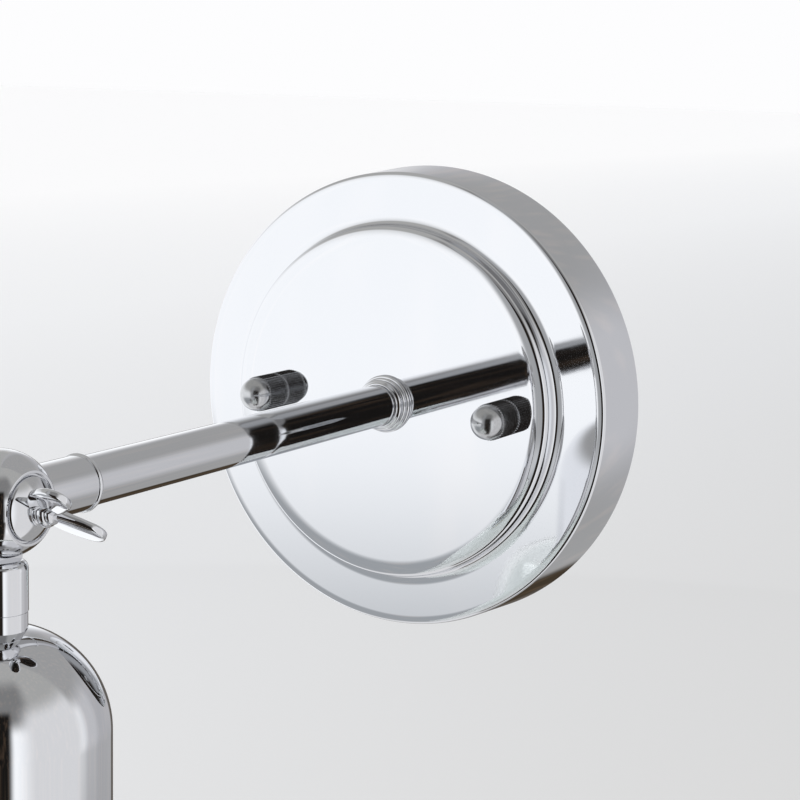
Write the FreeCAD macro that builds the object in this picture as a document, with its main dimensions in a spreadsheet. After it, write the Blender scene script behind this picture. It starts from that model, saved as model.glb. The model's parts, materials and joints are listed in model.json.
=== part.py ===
"""Wall sconce with a straight arm, a ball knuckle and a tilting glass-shaded head.

Frame: the wall is the plane Y = 0, the room is towards -Y, +X is to the right and +Z is up.
The origin is the centre of the canopy's back edge. All sizes are millimetres.
The arm runs along -Y. The head turns about an X axis through the centre of the knuckle ball,
and hangs straight down from it at rest.
"""
import FreeCAD, Part
import Sketcher
import math
import os

# alias, value in mm (or degrees, or a count)
SIZES = [
    ("canopy_back_rad", 68.0),
    ("canopy_front_rad", 66.9),
    ("canopy_depth", 21.2),
    ("canopy_edge_round", 1.2),
    ("disc_rad", 51.7),
    ("disc_depth", 26.8),
    ("disc_round", 1.7),
    ("disc_foot_round", 1.5),
    ("canopy_sheet", 1.2),
    ("centre_hole_rad", 5.1),
    ("bracket_rad", 56.0),
    ("bracket_thick", 2.0),
    ("bracket_wire_hole_rad", 14.0),
    ("box_screw_spacing", 88.9),
    ("box_slot_half_width", 2.3),
    ("box_slot_length", 12.0),
    ("stud_spacing", 77.0),
    ("stud_rad", 2.0),
    ("stud_end", 36.0),
    ("thread_gap", 0.05),
    ("hole_gap", 0.4),
    ("overcut", 20.0),
    ("stud_nut_corner_rad", 4.04),
    ("stud_nut_thick", 3.0),
    ("cap_nut_rad", 5.2),
    ("cap_nut_knurl_depth", 0.35),
    ("cap_nut_ridges", 36),
    ("cap_nut_knurl_length", 9.8),
    ("cap_nut_dome", 4.75),
    ("ground_screw_x", 22.0),
    ("ground_screw_z", -34.0),
    ("ground_screw_rad", 1.95),
    ("ground_head_rad", 4.2),
    ("ground_head_thick", 2.4),
    ("ground_slot_width", 0.9),
    ("ground_slot_deep", 1.5),
    ("nipple_rad", 4.95),
    ("nipple_bore_rad", 3.6),
    ("nipple_back", 20.0),
    ("nipple_front", 42.0),
    ("lock_nut_corner_rad", 8.08),
    ("lock_nut_thick", 3.0),
    ("lock_washer_rad", 8.6),
    ("lock_washer_thick", 0.8),
    ("ferrule_length", 4.9),
    ("ferrule_rad", 7.1),
    ("ferrule_bead_ring", 7.2),
    ("ferrule_bead_section", 1.2),
    ("ferrule_bead_at", 1.2),
    ("ferrule_small_ring", 6.65),
    ("ferrule_small_section", 0.75),
    ("ferrule_small_at", 3.4),
    ("arm_rad", 6.0),
    ("arm_wall", 1.0),
    ("arm_end", 178.0),
    ("reach", 194.5),
    ("sleeve_start", 167.3),
    ("sleeve_rad", 6.6),
    ("sleeve_lip_ring", 6.35),
    ("sleeve_lip_section", 0.7),
    ("ball_rad", 12.2),
    ("ball_gap", 0.05),
    ("spigot_rad", 4.9),
    ("spigot_end", 172.0),
    ("spigot_length", 14.5),
    ("wire_bore_rad", 3.0),
    ("wire_bore_length", 16.0),
    ("slot_width", 6.0),
    ("slot_rad", 9.6),
    ("slot_back_angle", 55.0),
    ("slot_sweep", 205.0),
    ("ball_flat", 8.9),
    ("ball_recess_rad", 7.7),
    ("ball_recess_depth", 0.8),
    ("tongue_thick", 5.0),
    ("tongue_rad", 9.2),
    ("tongue_neck_width", 9.2),
    ("friction_washer_thick", 0.4),
    ("friction_washer_rad", 7.0),
    ("pivot_gap", 0.08),
    ("stem_top", 12.6),
    ("stem_rad", 6.2),
    ("stem_round", 2.0),
    ("stem_seam", 24.2),
    ("stem_bore_top", 16.0),
    ("collar_rad", 6.05),
    ("collar_blank", 8.0),
    ("dome_rad", 24.7),
    ("dome_centre", 52.2),
    ("cup_sheet", 1.2),
    ("cup_rim", 80.0),
    ("cup_bead_section", 1.1),
    ("cup_bead_ring", 24.4),
    ("cup_nipple_top", 17.0),
    ("cup_nipple_end", 40.0),
    ("cup_nut_top", 30.4),
    ("socket_hub_top", 34.2),
    ("socket_hub_rad", 8.0),
    ("socket_cap_top", 41.0),
    ("socket_cap_rad", 17.5),
    ("socket_cap_thick", 3.0),
    ("socket_rad", 18.6),
    ("socket_floor", 60.0),
    ("socket_skirt_top", 76.0),
    ("socket_skirt_rad", 19.8),
    ("socket_end", 96.0),
    ("lamp_thread_rad", 13.2),
    ("screw_shell_wall", 0.5),
    ("screw_shell_top", 62.0),
    ("screw_shell_end", 90.0),
    ("contact_rad", 3.6),
    ("contact_foot_rad", 6.5),
    ("contact_thick", 0.8),
    ("contact_drop", 1.8),
    ("terminal_offset", 12.0),
    ("terminal_rad", 2.6),
    ("terminal_thick", 1.8),
    ("glass_hole_rad", 21.0),
    ("glass_thick", 3.0),
    ("glass_top_rad", 33.0),
    ("glass_shoulder", 15.0),
    ("glass_flare", 22.0),
    ("glass_mouth_rad", 76.0),
    ("glass_height", 112.0),
    ("gasket_thick", 0.8),
    ("gasket_rad", 24.5),
    ("gasket_gap", 0.02),
    ("shade_ring_rad", 27.0),
    ("shade_ring_thick", 5.0),
    ("shade_ring_gap", 0.1),
    ("shade_ring_round", 0.8),
    ("clamp_washer_rad", 7.3),
    ("clamp_washer_ball_rad", 10.87),
    ("clamp_washer_ball_x", 0.93),
    ("clamp_washer_end", 11.2),
    ("clamp_washer_hole", 2.3),
    ("wing_collar_rad", 3.6),
    ("wing_collar_thick", 0.7),
    ("wing_barrel_rad", 3.4),
    ("wing_barrel_length", 4.4),
    ("wing_barrel_round", 1.2),
    ("wing_span", 11.3),
    ("wing_length", 15.0),
    ("wing_thick", 2.2),
    ("wing_tip_rad", 2.7),
    ("wing_root", 2.04),
    ("wing_notch", 8.4),
    ("wing_bow", 0.6),
    ("wing_drop_angle", 37.0),
    ("pivot_screw_rad", 2.0),
    ("pivot_screw_end", 8.6),
]

doc = FreeCAD.newDocument("sconce")
sheet = doc.addObject("Spreadsheet::Sheet", "Sizes")
for row, (alias, value) in enumerate(SIZES, start=1):
    sheet.set(f"A{row}", alias)
    sheet.set(f"B{row}", str(value))
    sheet.setAlias(f"B{row}", alias)
doc.recompute()

TURN = {
    "room": FreeCAD.Rotation(FreeCAD.Vector(1, 0, 0), 90),
    "right": FreeCAD.Rotation(FreeCAD.Vector(0, 1, 0), 90),
    "down": FreeCAD.Rotation(FreeCAD.Vector(1, 0, 0), 180),
}
KNUCKLE = "-Sizes.reach"


def size(alias):
    """The number in the sheet's cell with this alias."""
    return float(sheet.get(alias))


def place(obj, direction, along, x="0", y="0", z="0"):
    """Point the object's own Z axis in a direction, starting a distance along it from x, y, z."""
    obj.Placement = FreeCAD.Placement(FreeCAD.Vector(0, 0, 0), TURN[direction])
    sign_and_axis = {"room": ("y", "-"), "right": ("x", "+"), "down": ("z", "-")}
    axis, sign = sign_and_axis[direction]
    base = {"x": x, "y": y, "z": z}
    base[axis] = f"({base[axis]}) {sign} ({along})"
    for name, expression in base.items():
        obj.setExpression(f"Placement.Base.{name}", expression)
    return obj


def rod(name, radius, length, direction, along, **centre):
    """A solid cylinder; radius, length and along are expressions on the sheet."""
    obj = doc.addObject("Part::Cylinder", name)
    obj.setExpression("Radius", radius)
    obj.setExpression("Height", length)
    return place(obj, direction, along, **centre)


def hexagon(name, corner_radius, length, direction, along, **centre):
    """A hexagonal bar, measured to its corners."""
    obj = doc.addObject("Part::Prism", name)
    obj.Polygon = 6
    obj.setExpression("Circumradius", corner_radius)
    obj.setExpression("Height", length)
    return place(obj, direction, along, **centre)


def hoop(name, ring_radius, section_radius, direction, along, **centre):
    """A torus, for beads and rolled rims."""
    obj = doc.addObject("Part::Torus", name)
    obj.setExpression("Radius1", ring_radius)
    obj.setExpression("Radius2", section_radius)
    return place(obj, direction, along, **centre)


def globe(name, radius, x="0", y="0", z="0"):
    """A sphere."""
    obj = doc.addObject("Part::Sphere", name)
    obj.setExpression("Radius", radius)
    return place(obj, "down", "0", x=x, y=y, z=z)


def brick(name, length, width, height, x, y, z):
    """A box from its lowest corner."""
    obj = doc.addObject("Part::Box", name)
    for side, expression in (("Length", length), ("Width", width), ("Height", height)):
        obj.setExpression(side, expression)
    for axis, expression in (("x", x), ("y", y), ("z", z)):
        obj.setExpression(f"Placement.Base.{axis}", expression)
    return obj


def fuse(name, *solids):
    """One solid made of several."""
    obj = doc.addObject("Part::MultiFuse", name)
    obj.Shapes = list(solids)
    obj.Refine = True
    return obj


def cut(name, solid, *tools):
    """A solid with one or more tools taken out of it."""
    tool = tools[0]
    if len(tools) > 1:
        tool = fuse(name + "_tools", *tools)
    obj = doc.addObject("Part::Cut", name)
    obj.Base = solid
    obj.Tool = tool
    return obj


def group(name, *solids):
    """Separate identical pieces kept under one name."""
    obj = doc.addObject("Part::Compound", name)
    obj.Links = list(solids)
    return obj


def mirrored(name, solid):
    """The same piece on the other side of the X = 0 plane."""
    obj = doc.addObject("Part::Mirroring", name)
    obj.Source = solid
    obj.Normal = FreeCAD.Vector(1, 0, 0)
    return obj


def rounded(name, solid, radius, wanted):
    """Round the edges that the test picks out."""
    doc.recompute()
    numbers = [i for i, edge in enumerate(solid.Shape.Edges, start=1) if wanted(edge)]
    obj = doc.addObject("Part::Fillet", name)
    obj.Base = solid
    obj.Edges = [(number, radius, radius) for number in numbers]
    return obj


def circle_at(axis, distance, radius=None):
    """A test for a round edge whose centre has this coordinate, and this radius if given."""
    def test(edge):
        if not isinstance(edge.Curve, Part.Circle):
            return False
        if abs(getattr(edge.Curve.Center, axis) - distance) > 0.01:
            return False
        return radius is None or abs(edge.Curve.Radius - radius) < 0.01
    return test


def turned_body(name, points, rounds=()):
    """A body revolved about Y from an outline of (radius, depth from the wall) expressions.

    Each entry of rounds is (radius expression, test), one fillet feature apiece.
    """
    body = doc.addObject("PartDesign::Body", name)
    sketch = body.newObject("Sketcher::SketchObject", name + "_outline")
    plane = [item for item in body.Origin.OriginFeatures if item.Role == "XY_Plane"][0]
    sketch.AttachmentSupport = (plane, [""])
    sketch.MapMode = "FlatFace"
    corners = []
    for radius, depth in points:
        x = float(sketch.evalExpression(radius))
        y = -float(sketch.evalExpression(depth))
        corners.append(FreeCAD.Vector(x, y, 0))
    count = len(corners)
    for i in range(count):
        sketch.addGeometry(Part.LineSegment(corners[i], corners[(i + 1) % count]), False)
    for i in range(count):
        sketch.addConstraint(Sketcher.Constraint("Coincident", i, 2, (i + 1) % count, 1))
    for i, (radius, depth) in enumerate(points):
        across = sketch.addConstraint(Sketcher.Constraint("DistanceX", -1, 1, i, 1, corners[i].x))
        sketch.setExpression(f"Constraints[{across}]", radius)
        up = sketch.addConstraint(Sketcher.Constraint("DistanceY", -1, 1, i, 1, corners[i].y))
        sketch.setExpression(f"Constraints[{up}]", f"-({depth})")
    turn = body.newObject("PartDesign::Revolution", name + "_turned")
    turn.Profile = sketch
    turn.ReferenceAxis = (sketch, ["V_Axis"])
    turn.Angle = 360
    doc.recompute()
    for number, (radius, wanted) in enumerate(rounds, start=1):
        before = body.Tip
        edges = [f"Edge{i}" for i, edge in enumerate(before.Shape.Edges, start=1) if wanted(edge)]
        fillet = body.newObject("PartDesign::Fillet", f"{name}_round_{number}")
        fillet.Base = (before, edges)
        fillet.setExpression("Radius", radius)
        body.Tip = fillet
        doc.recompute()
    return body


def canopy():
    """The spun cover: a hollow pan with a raised disc in the middle of its front."""
    sheet_metal = "Sizes.canopy_sheet"
    outline = [
        ("Sizes.centre_hole_rad", "Sizes.disc_depth"),
        ("Sizes.disc_rad", "Sizes.disc_depth"),
        ("Sizes.disc_rad", "Sizes.canopy_depth"),
        ("Sizes.canopy_front_rad", "Sizes.canopy_depth"),
        ("Sizes.canopy_back_rad", "0"),
        (f"Sizes.canopy_back_rad - {sheet_metal}", "0"),
        (f"Sizes.canopy_front_rad - {sheet_metal}", f"Sizes.canopy_depth - {sheet_metal}"),
        (f"Sizes.disc_rad - {sheet_metal}", f"Sizes.canopy_depth - {sheet_metal}"),
        (f"Sizes.disc_rad - {sheet_metal}", f"Sizes.disc_depth - {sheet_metal}"),
        ("Sizes.centre_hole_rad", f"Sizes.disc_depth - {sheet_metal}"),
    ]
    rounds = [
        ("Sizes.canopy_edge_round", circle_at("y", -size("canopy_depth"), size("canopy_front_rad"))),
        ("Sizes.disc_round", circle_at("y", -size("disc_depth"), size("disc_rad"))),
        ("Sizes.disc_foot_round", circle_at("y", -size("canopy_depth"), size("disc_rad"))),
    ]
    shell = turned_body("canopy_shell", outline, rounds)
    half = "Sizes.stud_spacing / 2"
    hole = "Sizes.stud_rad + Sizes.hole_gap"
    tools = []
    for side, sign in (("right", ""), ("left", "-")):
        tools.append(rod(f"canopy_hole_{side}", hole, "Sizes.overcut", "room", "Sizes.overcut",
                         x=f"{sign}{half}"))
    return cut("canopy", shell, *tools)


def wall_bracket():
    """The round steel plate that is screwed to the wall box, with two upright slots."""
    plate = rod("bracket_plate", "Sizes.bracket_rad", "Sizes.bracket_thick", "room", "0")
    deep = "Sizes.bracket_thick + 2"
    tools = [rod("bracket_wire_hole", "Sizes.bracket_wire_hole_rad", deep, "room", "-1")]
    width = "Sizes.box_slot_half_width"
    straight = f"(Sizes.box_slot_length / 2 - {width})"
    for name, sign in (("upper", ""), ("lower", "-")):
        middle = f"{sign}Sizes.box_screw_spacing / 2"
        for end, step in (("high", "+"), ("low", "-")):
            tools.append(rod(f"slot_{name}_{end}", width, deep, "room", "-1",
                             z=f"{middle} {step} {straight}"))
        low = f"{middle} - {straight}"
        tools.append(brick(f"slot_{name}_middle", f"2 * {width}", deep, f"2 * {straight}",
                           f"-{width}", "-Sizes.bracket_thick - 1", low))
    for side, sign in (("right", ""), ("left", "-")):
        tools.append(rod(f"bracket_stud_hole_{side}", "Sizes.stud_rad + Sizes.thread_gap", deep,
                         "room", "-1", x=f"{sign}Sizes.stud_spacing / 2"))
    tools.append(rod("bracket_ground_hole", "Sizes.ground_screw_rad + Sizes.thread_gap", deep,
                     "room", "-1", x="Sizes.ground_screw_x", z="Sizes.ground_screw_z"))
    return cut("wall_bracket", plate, *tools)


def bracket_studs():
    """Two M4 studs that stand out of the plate and pass through the canopy."""
    stud = rod("stud_right", "Sizes.stud_rad", "Sizes.stud_end", "room", "0", x="Sizes.stud_spacing / 2")
    return group("bracket_studs", stud, mirrored("stud_left", stud))


def stud_nuts():
    """The hexagon nuts that lock the studs to the plate."""
    bar = hexagon("stud_nut_bar", "Sizes.stud_nut_corner_rad", "Sizes.stud_nut_thick", "room",
                  "Sizes.bracket_thick", x="Sizes.stud_spacing / 2")
    bore = rod("stud_nut_bore", "Sizes.stud_rad + Sizes.thread_gap", "Sizes.overcut", "room", "0",
               x="Sizes.stud_spacing / 2")
    nut = cut("stud_nut_right", bar, bore)
    return group("stud_nuts", nut, mirrored("stud_nut_left", nut))


def cap_nut(name, sign):
    """A domed finger nut with a straight knurl and a blind bore, on the canopy's disc."""
    radius = size("cap_nut_rad")
    root = radius - size("cap_nut_knurl_depth")
    ridges = int(size("cap_nut_ridges"))
    centre = sign * size("stud_spacing") / 2
    points = []
    for i in range(2 * ridges):
        angle = math.pi * i / ridges
        reach = radius if i % 2 == 0 else root
        points.append(FreeCAD.Vector(reach * math.cos(angle), reach * math.sin(angle), 0))
    points.append(points[0])
    length = size("cap_nut_knurl_length")
    knurled = Part.Face(Part.makePolygon(points)).extrude(FreeCAD.Vector(0, 0, length))
    dome = size("cap_nut_dome")
    dome_rad = (root * root + dome * dome) / (2 * dome)
    ball = Part.makeSphere(dome_rad, FreeCAD.Vector(0, 0, length + dome - dome_rad))
    keep = Part.makeCylinder(root, dome + 1, FreeCAD.Vector(0, 0, length))
    bore = Part.makeCylinder(size("stud_rad") + size("thread_gap"),
                             size("stud_end") - size("disc_depth") + size("hole_gap"))
    nut = doc.addObject("Part::Feature", name)
    nut.Shape = knurled.fuse(ball.common(keep)).removeSplitter().cut(bore)
    nut.Placement = FreeCAD.Placement(FreeCAD.Vector(centre, -size("disc_depth"), 0), TURN["room"])
    return nut


def ground_screw():
    """The green grounding screw on the plate."""
    centre = {"x": "Sizes.ground_screw_x", "z": "Sizes.ground_screw_z"}
    head = hexagon("ground_head", "Sizes.ground_head_rad", "Sizes.ground_head_thick", "room",
                   "Sizes.bracket_thick", **centre)
    shank = rod("ground_shank", "Sizes.ground_screw_rad", "Sizes.bracket_thick", "room", "0", **centre)
    slot = brick("ground_slot", "2 * Sizes.ground_head_rad + 2", "Sizes.ground_slot_deep",
                 "Sizes.ground_slot_width",
                 "Sizes.ground_screw_x - Sizes.ground_head_rad - 1",
                 "-Sizes.bracket_thick - Sizes.ground_head_thick - 0.5",
                 "Sizes.ground_screw_z - Sizes.ground_slot_width / 2")
    return cut("ground_screw", fuse("ground_blank", head, shank), slot)


def arm_ferrule():
    """The beaded trim ring where the arm meets the canopy's disc."""
    start = "Sizes.disc_depth"
    core = rod("ferrule_core", "Sizes.ferrule_rad", "Sizes.ferrule_small_at - 0.4", "room", start)
    nose = rod("ferrule_nose", "Sizes.ferrule_small_ring", "Sizes.ferrule_length", "room", start)
    bead = hoop("ferrule_bead", "Sizes.ferrule_bead_ring", "Sizes.ferrule_bead_section", "room",
                f"{start} + Sizes.ferrule_bead_at")
    small = hoop("ferrule_small_bead", "Sizes.ferrule_small_ring", "Sizes.ferrule_small_section",
                 "room", f"{start} + Sizes.ferrule_small_at")
    bore = rod("ferrule_bore", "Sizes.arm_rad + Sizes.thread_gap", "Sizes.overcut", "room", f"{start} - 5")
    return cut("arm_ferrule", fuse("ferrule_blank", core, nose, bead, small), bore)


def arm_tube():
    """The straight arm, screwed on the nipple at the wall and pushed over the ball's spigot."""
    length = "Sizes.arm_end - Sizes.disc_depth"
    outer = rod("arm_outer", "Sizes.arm_rad", length, "room", "Sizes.disc_depth")
    inner = rod("arm_inner", "Sizes.arm_rad - Sizes.arm_wall", f"{length} + 2", "room",
                "Sizes.disc_depth - 1")
    return cut("arm_tube", outer, inner)


def arm_nipple():
    """The hollow threaded pipe that ties the arm to the canopy; the wires run through it."""
    length = "Sizes.nipple_front - Sizes.nipple_back"
    outer = rod("nipple_outer", "Sizes.nipple_rad", length, "room", "Sizes.nipple_back")
    inner = rod("nipple_inner", "Sizes.nipple_bore_rad", f"{length} + 2", "room",
                "Sizes.nipple_back - 1")
    return cut("arm_nipple", outer, inner)


def nipple_washer():
    """The lock washer behind the canopy's disc."""
    back = "Sizes.disc_depth - Sizes.canopy_sheet - Sizes.lock_washer_thick"
    disc = rod("washer_disc", "Sizes.lock_washer_rad", "Sizes.lock_washer_thick", "room", back)
    hole = rod("washer_hole", "Sizes.nipple_rad + Sizes.thread_gap", "Sizes.overcut", "room", f"{back} - 1")
    return cut("nipple_washer", disc, hole)


def nipple_nut():
    """The hexagon lock nut that pulls the arm against the canopy from behind."""
    back = ("Sizes.disc_depth - Sizes.canopy_sheet - Sizes.lock_washer_thick"
            " - Sizes.lock_nut_thick")
    bar = hexagon("lock_nut_bar", "Sizes.lock_nut_corner_rad", "Sizes.lock_nut_thick", "room", back)
    bore = rod("lock_nut_bore", "Sizes.nipple_rad + Sizes.thread_gap", "Sizes.overcut", "room",
               f"{back} - 1")
    return cut("nipple_nut", bar, bore)


def knuckle_sleeve():
    """The sleeve that covers the joint of arm and ball, with a rolled lip on the wall side."""
    tube = rod("sleeve_tube", "Sizes.sleeve_rad", "Sizes.reach - Sizes.sleeve_start", "room",
               "Sizes.sleeve_start")
    lip = hoop("sleeve_lip", "Sizes.sleeve_lip_ring", "Sizes.sleeve_lip_section", "room",
               "Sizes.sleeve_start")
    over_arm = rod("sleeve_over_arm", "Sizes.arm_rad + Sizes.thread_gap",
                   "Sizes.arm_end - Sizes.sleeve_start + 5", "room", "Sizes.sleeve_start - 5")
    over_spigot = rod("sleeve_over_spigot", "Sizes.spigot_rad + Sizes.thread_gap", "Sizes.overcut", "room",
                      "Sizes.arm_end - 1")
    seat = globe("sleeve_seat", "Sizes.ball_rad + Sizes.ball_gap", y=KNUCKLE)
    return cut("knuckle_sleeve", fuse("sleeve_blank", tube, lip), over_arm, over_spigot, seat)


def knuckle_ball():
    """The ball: a slot for the tongue, a flat with a recess for the washer, a pivot hole."""
    ball = globe("ball_round", "Sizes.ball_rad", y=KNUCKLE)
    spigot = rod("ball_spigot", "Sizes.spigot_rad", "Sizes.spigot_length", "room",
                 "Sizes.spigot_end")
    centre = {"y": KNUCKLE}
    half = "Sizes.slot_width / 2"
    chamber = rod("ball_chamber", "Sizes.slot_rad", "Sizes.slot_width", "right", f"-{half}", **centre)
    mouth = rod("ball_mouth", "Sizes.ball_rad + 3", "Sizes.slot_width", "right", f"-{half}", **centre)
    mouth.setExpression("Angle", "Sizes.slot_sweep")
    mouth.Placement.Rotation = mouth_turn()
    flat = rod("ball_flat_cut", "Sizes.ball_rad", "Sizes.overcut", "right", "Sizes.ball_flat", **centre)
    recess = rod("ball_recess", "Sizes.ball_recess_rad", "Sizes.overcut", "right",
                 "Sizes.ball_flat - Sizes.ball_recess_depth", **centre)
    pivot = rod("ball_pivot_hole", "Sizes.pivot_screw_rad + Sizes.pivot_gap",
                "Sizes.pivot_screw_end + Sizes.overcut", "right",
                "-Sizes.pivot_screw_end - Sizes.hole_gap", **centre)
    wires = rod("ball_wire_bore", "Sizes.wire_bore_rad", "Sizes.wire_bore_length", "room",
                "Sizes.spigot_end - 1")
    blank = fuse("ball_blank", ball, spigot)
    return cut("knuckle_ball", blank, chamber, mouth, flat, recess, pivot, wires)


def mouth_turn():
    """Turn a sector about X so that it runs from behind the stem, round the front, to the top."""
    to_x = FreeCAD.Rotation(FreeCAD.Vector(0, 1, 0), 90)
    start = FreeCAD.Rotation(FreeCAD.Vector(1, 0, 0), -(size("slot_sweep") - size("slot_back_angle")))
    return start.multiply(to_x)


def friction_washers():
    """Thin fibre washers on both sides of the tongue, which make the knuckle stay put."""
    centre = {"y": KNUCKLE}
    thick = "Sizes.friction_washer_thick"
    side = "Sizes.slot_width / 2 - Sizes.friction_washer_thick - Sizes.gasket_gap"
    disc = rod("friction_disc", "Sizes.friction_washer_rad", thick, "right", side, **centre)
    hole = rod("friction_hole", "Sizes.clamp_washer_hole", "Sizes.slot_width / 2", "right", "0", **centre)
    washer = cut("friction_washer_right", disc, hole)
    return group("friction_washers", washer, mirrored("friction_washer_left", washer))


def clamp_washer():
    """The domed washer under the wing screw."""
    centre = {"y": KNUCKLE}
    floor = "Sizes.ball_flat - Sizes.ball_recess_depth"
    body = rod("clamp_body", "Sizes.clamp_washer_rad", f"Sizes.clamp_washer_end - ({floor})", "right",
               floor, **centre)
    ball = globe("clamp_ball", "Sizes.clamp_washer_ball_rad", x="Sizes.clamp_washer_ball_x", **centre)
    dome = doc.addObject("Part::Common", "clamp_dome")
    dome.Base = body
    dome.Tool = ball
    hole = rod("clamp_hole", "Sizes.clamp_washer_hole", "Sizes.overcut", "right", "0", **centre)
    return cut("clamp_washer", dome, hole)


def wing_screw():
    """The thumb screw: shaft, collar, rounded barrel and a two-lobed butterfly plate."""
    start = size("clamp_washer_end")
    barrel_start = start + size("wing_collar_thick")
    barrel_length = size("wing_barrel_length")
    x_axis = FreeCAD.Vector(1, 0, 0)
    tip = -size("pivot_screw_end")
    shaft = Part.makeCylinder(size("pivot_screw_rad"), barrel_start - tip + 1,
                              FreeCAD.Vector(tip, 0, 0), x_axis)
    collar = Part.makeCylinder(size("wing_collar_rad"), size("wing_collar_thick"),
                               FreeCAD.Vector(start, 0, 0), x_axis)
    barrel = Part.makeCylinder(size("wing_barrel_rad"), barrel_length,
                               FreeCAD.Vector(barrel_start, 0, 0), x_axis)
    ends = [edge for edge in barrel.Edges if isinstance(edge.Curve, Part.Circle)]
    barrel = barrel.makeFillet(size("wing_barrel_round"), ends)
    thick = size("wing_thick")
    plate = Part.Face(wing_outline(barrel_start))
    plate.translate(FreeCAD.Vector(0, 0, -thick / 2))
    plate = plate.extrude(FreeCAD.Vector(0, 0, thick))
    plate.rotate(FreeCAD.Vector(0, 0, 0), x_axis, -size("wing_drop_angle"))
    screw = doc.addObject("Part::Feature", "wing_screw")
    screw.Shape = shaft.fuse([collar, barrel, plate]).removeSplitter()
    screw.Placement.Base = FreeCAD.Vector(0, -size("reach"), 0)
    return screw


def wing_outline(hub):
    """A closed butterfly outline in the X-Y plane, symmetric about the X axis."""
    length = size("wing_length")
    span = size("wing_span")
    tip = size("wing_tip_rad")
    reach = FreeCAD.Vector(hub + length - tip, span - tip, 0)
    root = FreeCAD.Vector(hub + size("wing_barrel_round"), size("wing_root"), 0)
    notch = FreeCAD.Vector(hub + size("wing_notch"), 0, 0)
    along = (reach - root).normalize()
    side = FreeCAD.Vector(-along.y, along.x, 0)
    outer = reach + side * tip
    inner = reach - side * tip
    front = reach + along * tip
    waist = (notch + inner) * 0.5 - side * size("wing_bow")

    def lower(point):
        return FreeCAD.Vector(point.x, -point.y, 0)

    edges = [
        Part.LineSegment(root, outer).toShape(),
        Part.Arc(outer, front, inner).toShape(),
        Part.Arc(inner, waist, notch).toShape(),
        Part.Arc(notch, lower(waist), lower(inner)).toShape(),
        Part.Arc(lower(inner), lower(front), lower(outer)).toShape(),
        Part.LineSegment(lower(outer), lower(root)).toShape(),
        Part.LineSegment(lower(root), root).toShape(),
    ]
    return Part.Wire(edges)


def swivel_stem():
    """The stem under the ball, in one casting with the tongue that turns in the ball's slot."""
    centre = {"y": KNUCKLE}
    tongue = rod("tongue_disc", "Sizes.tongue_rad", "Sizes.tongue_thick", "right",
                 "-Sizes.tongue_thick / 2", **centre)
    neck = brick("tongue_neck", "Sizes.tongue_thick", "Sizes.tongue_neck_width",
                 "Sizes.stem_top + 1", "-Sizes.tongue_thick / 2",
                 "-Sizes.reach - Sizes.tongue_neck_width / 2", "-Sizes.stem_top - 1")
    body = rod("stem_body", "Sizes.stem_rad", "Sizes.stem_seam - Sizes.stem_top", "down",
               "Sizes.stem_top", **centre)
    body = rounded("stem_rounded", body, size("stem_round"), circle_at("z", -size("stem_top")))
    pivot = rod("tongue_hole", "Sizes.pivot_screw_rad + Sizes.pivot_gap", "Sizes.overcut", "right",
                "-Sizes.overcut / 2", **centre)
    bore = rod("stem_bore", "Sizes.nipple_rad + Sizes.thread_gap",
               "Sizes.stem_seam - Sizes.stem_bore_top + 1", "down", "Sizes.stem_bore_top", **centre)
    return cut("swivel_stem", fuse("stem_blank", tongue, neck, body), pivot, bore)


def stem_collar():
    """The short collar between the stem and the dome of the cup."""
    centre = {"y": KNUCKLE}
    body = rod("collar_body", "Sizes.collar_rad", "Sizes.collar_blank", "down", "Sizes.stem_seam", **centre)
    bore = rod("collar_bore", "Sizes.nipple_rad + Sizes.thread_gap", "Sizes.overcut", "down",
               "Sizes.stem_seam - 5", **centre)
    dome = globe("collar_seat", "Sizes.dome_rad", z="-Sizes.dome_centre", **centre)
    return cut("stem_collar", body, bore, dome)


def socket_cup():
    """The domed cup over the lamp socket, open at the bottom and beaded at its rim."""
    centre = {"y": KNUCKLE}
    low = {"z": "-Sizes.dome_centre", "y": KNUCKLE}
    straight = "Sizes.cup_rim - Sizes.dome_centre"
    outer = globe("cup_dome", "Sizes.dome_rad", **low)
    wall = rod("cup_wall", "Sizes.dome_rad", straight, "down", "Sizes.dome_centre", **centre)
    bead = hoop("cup_bead", "Sizes.cup_bead_ring", "Sizes.cup_bead_section", "down",
                "Sizes.cup_rim - Sizes.cup_bead_section", **centre)
    inside = "Sizes.dome_rad - Sizes.cup_sheet"
    hollow = globe("cup_hollow", inside, **low)
    hollow_wall = rod("cup_hollow_wall", inside, f"{straight} + 30", "down", "Sizes.dome_centre",
                      **centre)
    hole = rod("cup_hole", "Sizes.nipple_rad + Sizes.thread_gap", "Sizes.overcut", "down",
               "Sizes.overcut", **centre)
    blank = fuse("cup_blank", outer, wall, bead)
    below = rod("cup_below", "Sizes.dome_rad + 5", "2 * Sizes.overcut", "down", "Sizes.cup_rim", **centre)
    return cut("socket_cup", blank, hollow, hollow_wall, hole, below)


def cup_nipple():
    """The hollow threaded pipe from the stem through the cup to the socket."""
    centre = {"y": KNUCKLE}
    length = "Sizes.cup_nipple_end - Sizes.cup_nipple_top"
    outer = rod("cup_nipple_outer", "Sizes.nipple_rad", length, "down", "Sizes.cup_nipple_top",
                **centre)
    inner = rod("cup_nipple_inner", "Sizes.nipple_bore_rad", f"{length} + 2", "down",
                "Sizes.cup_nipple_top - 1", **centre)
    return cut("cup_nipple", outer, inner)


def cup_nut():
    """The lock nut inside the cup."""
    centre = {"y": KNUCKLE}
    bar = hexagon("cup_nut_bar", "Sizes.lock_nut_corner_rad", "Sizes.lock_nut_thick", "down",
                  "Sizes.cup_nut_top", **centre)
    bore = rod("cup_nut_bore", "Sizes.nipple_rad + Sizes.thread_gap", "Sizes.overcut", "down",
               "Sizes.cup_nut_top - 4", **centre)
    return cut("cup_nut", bar, bore)


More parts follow.
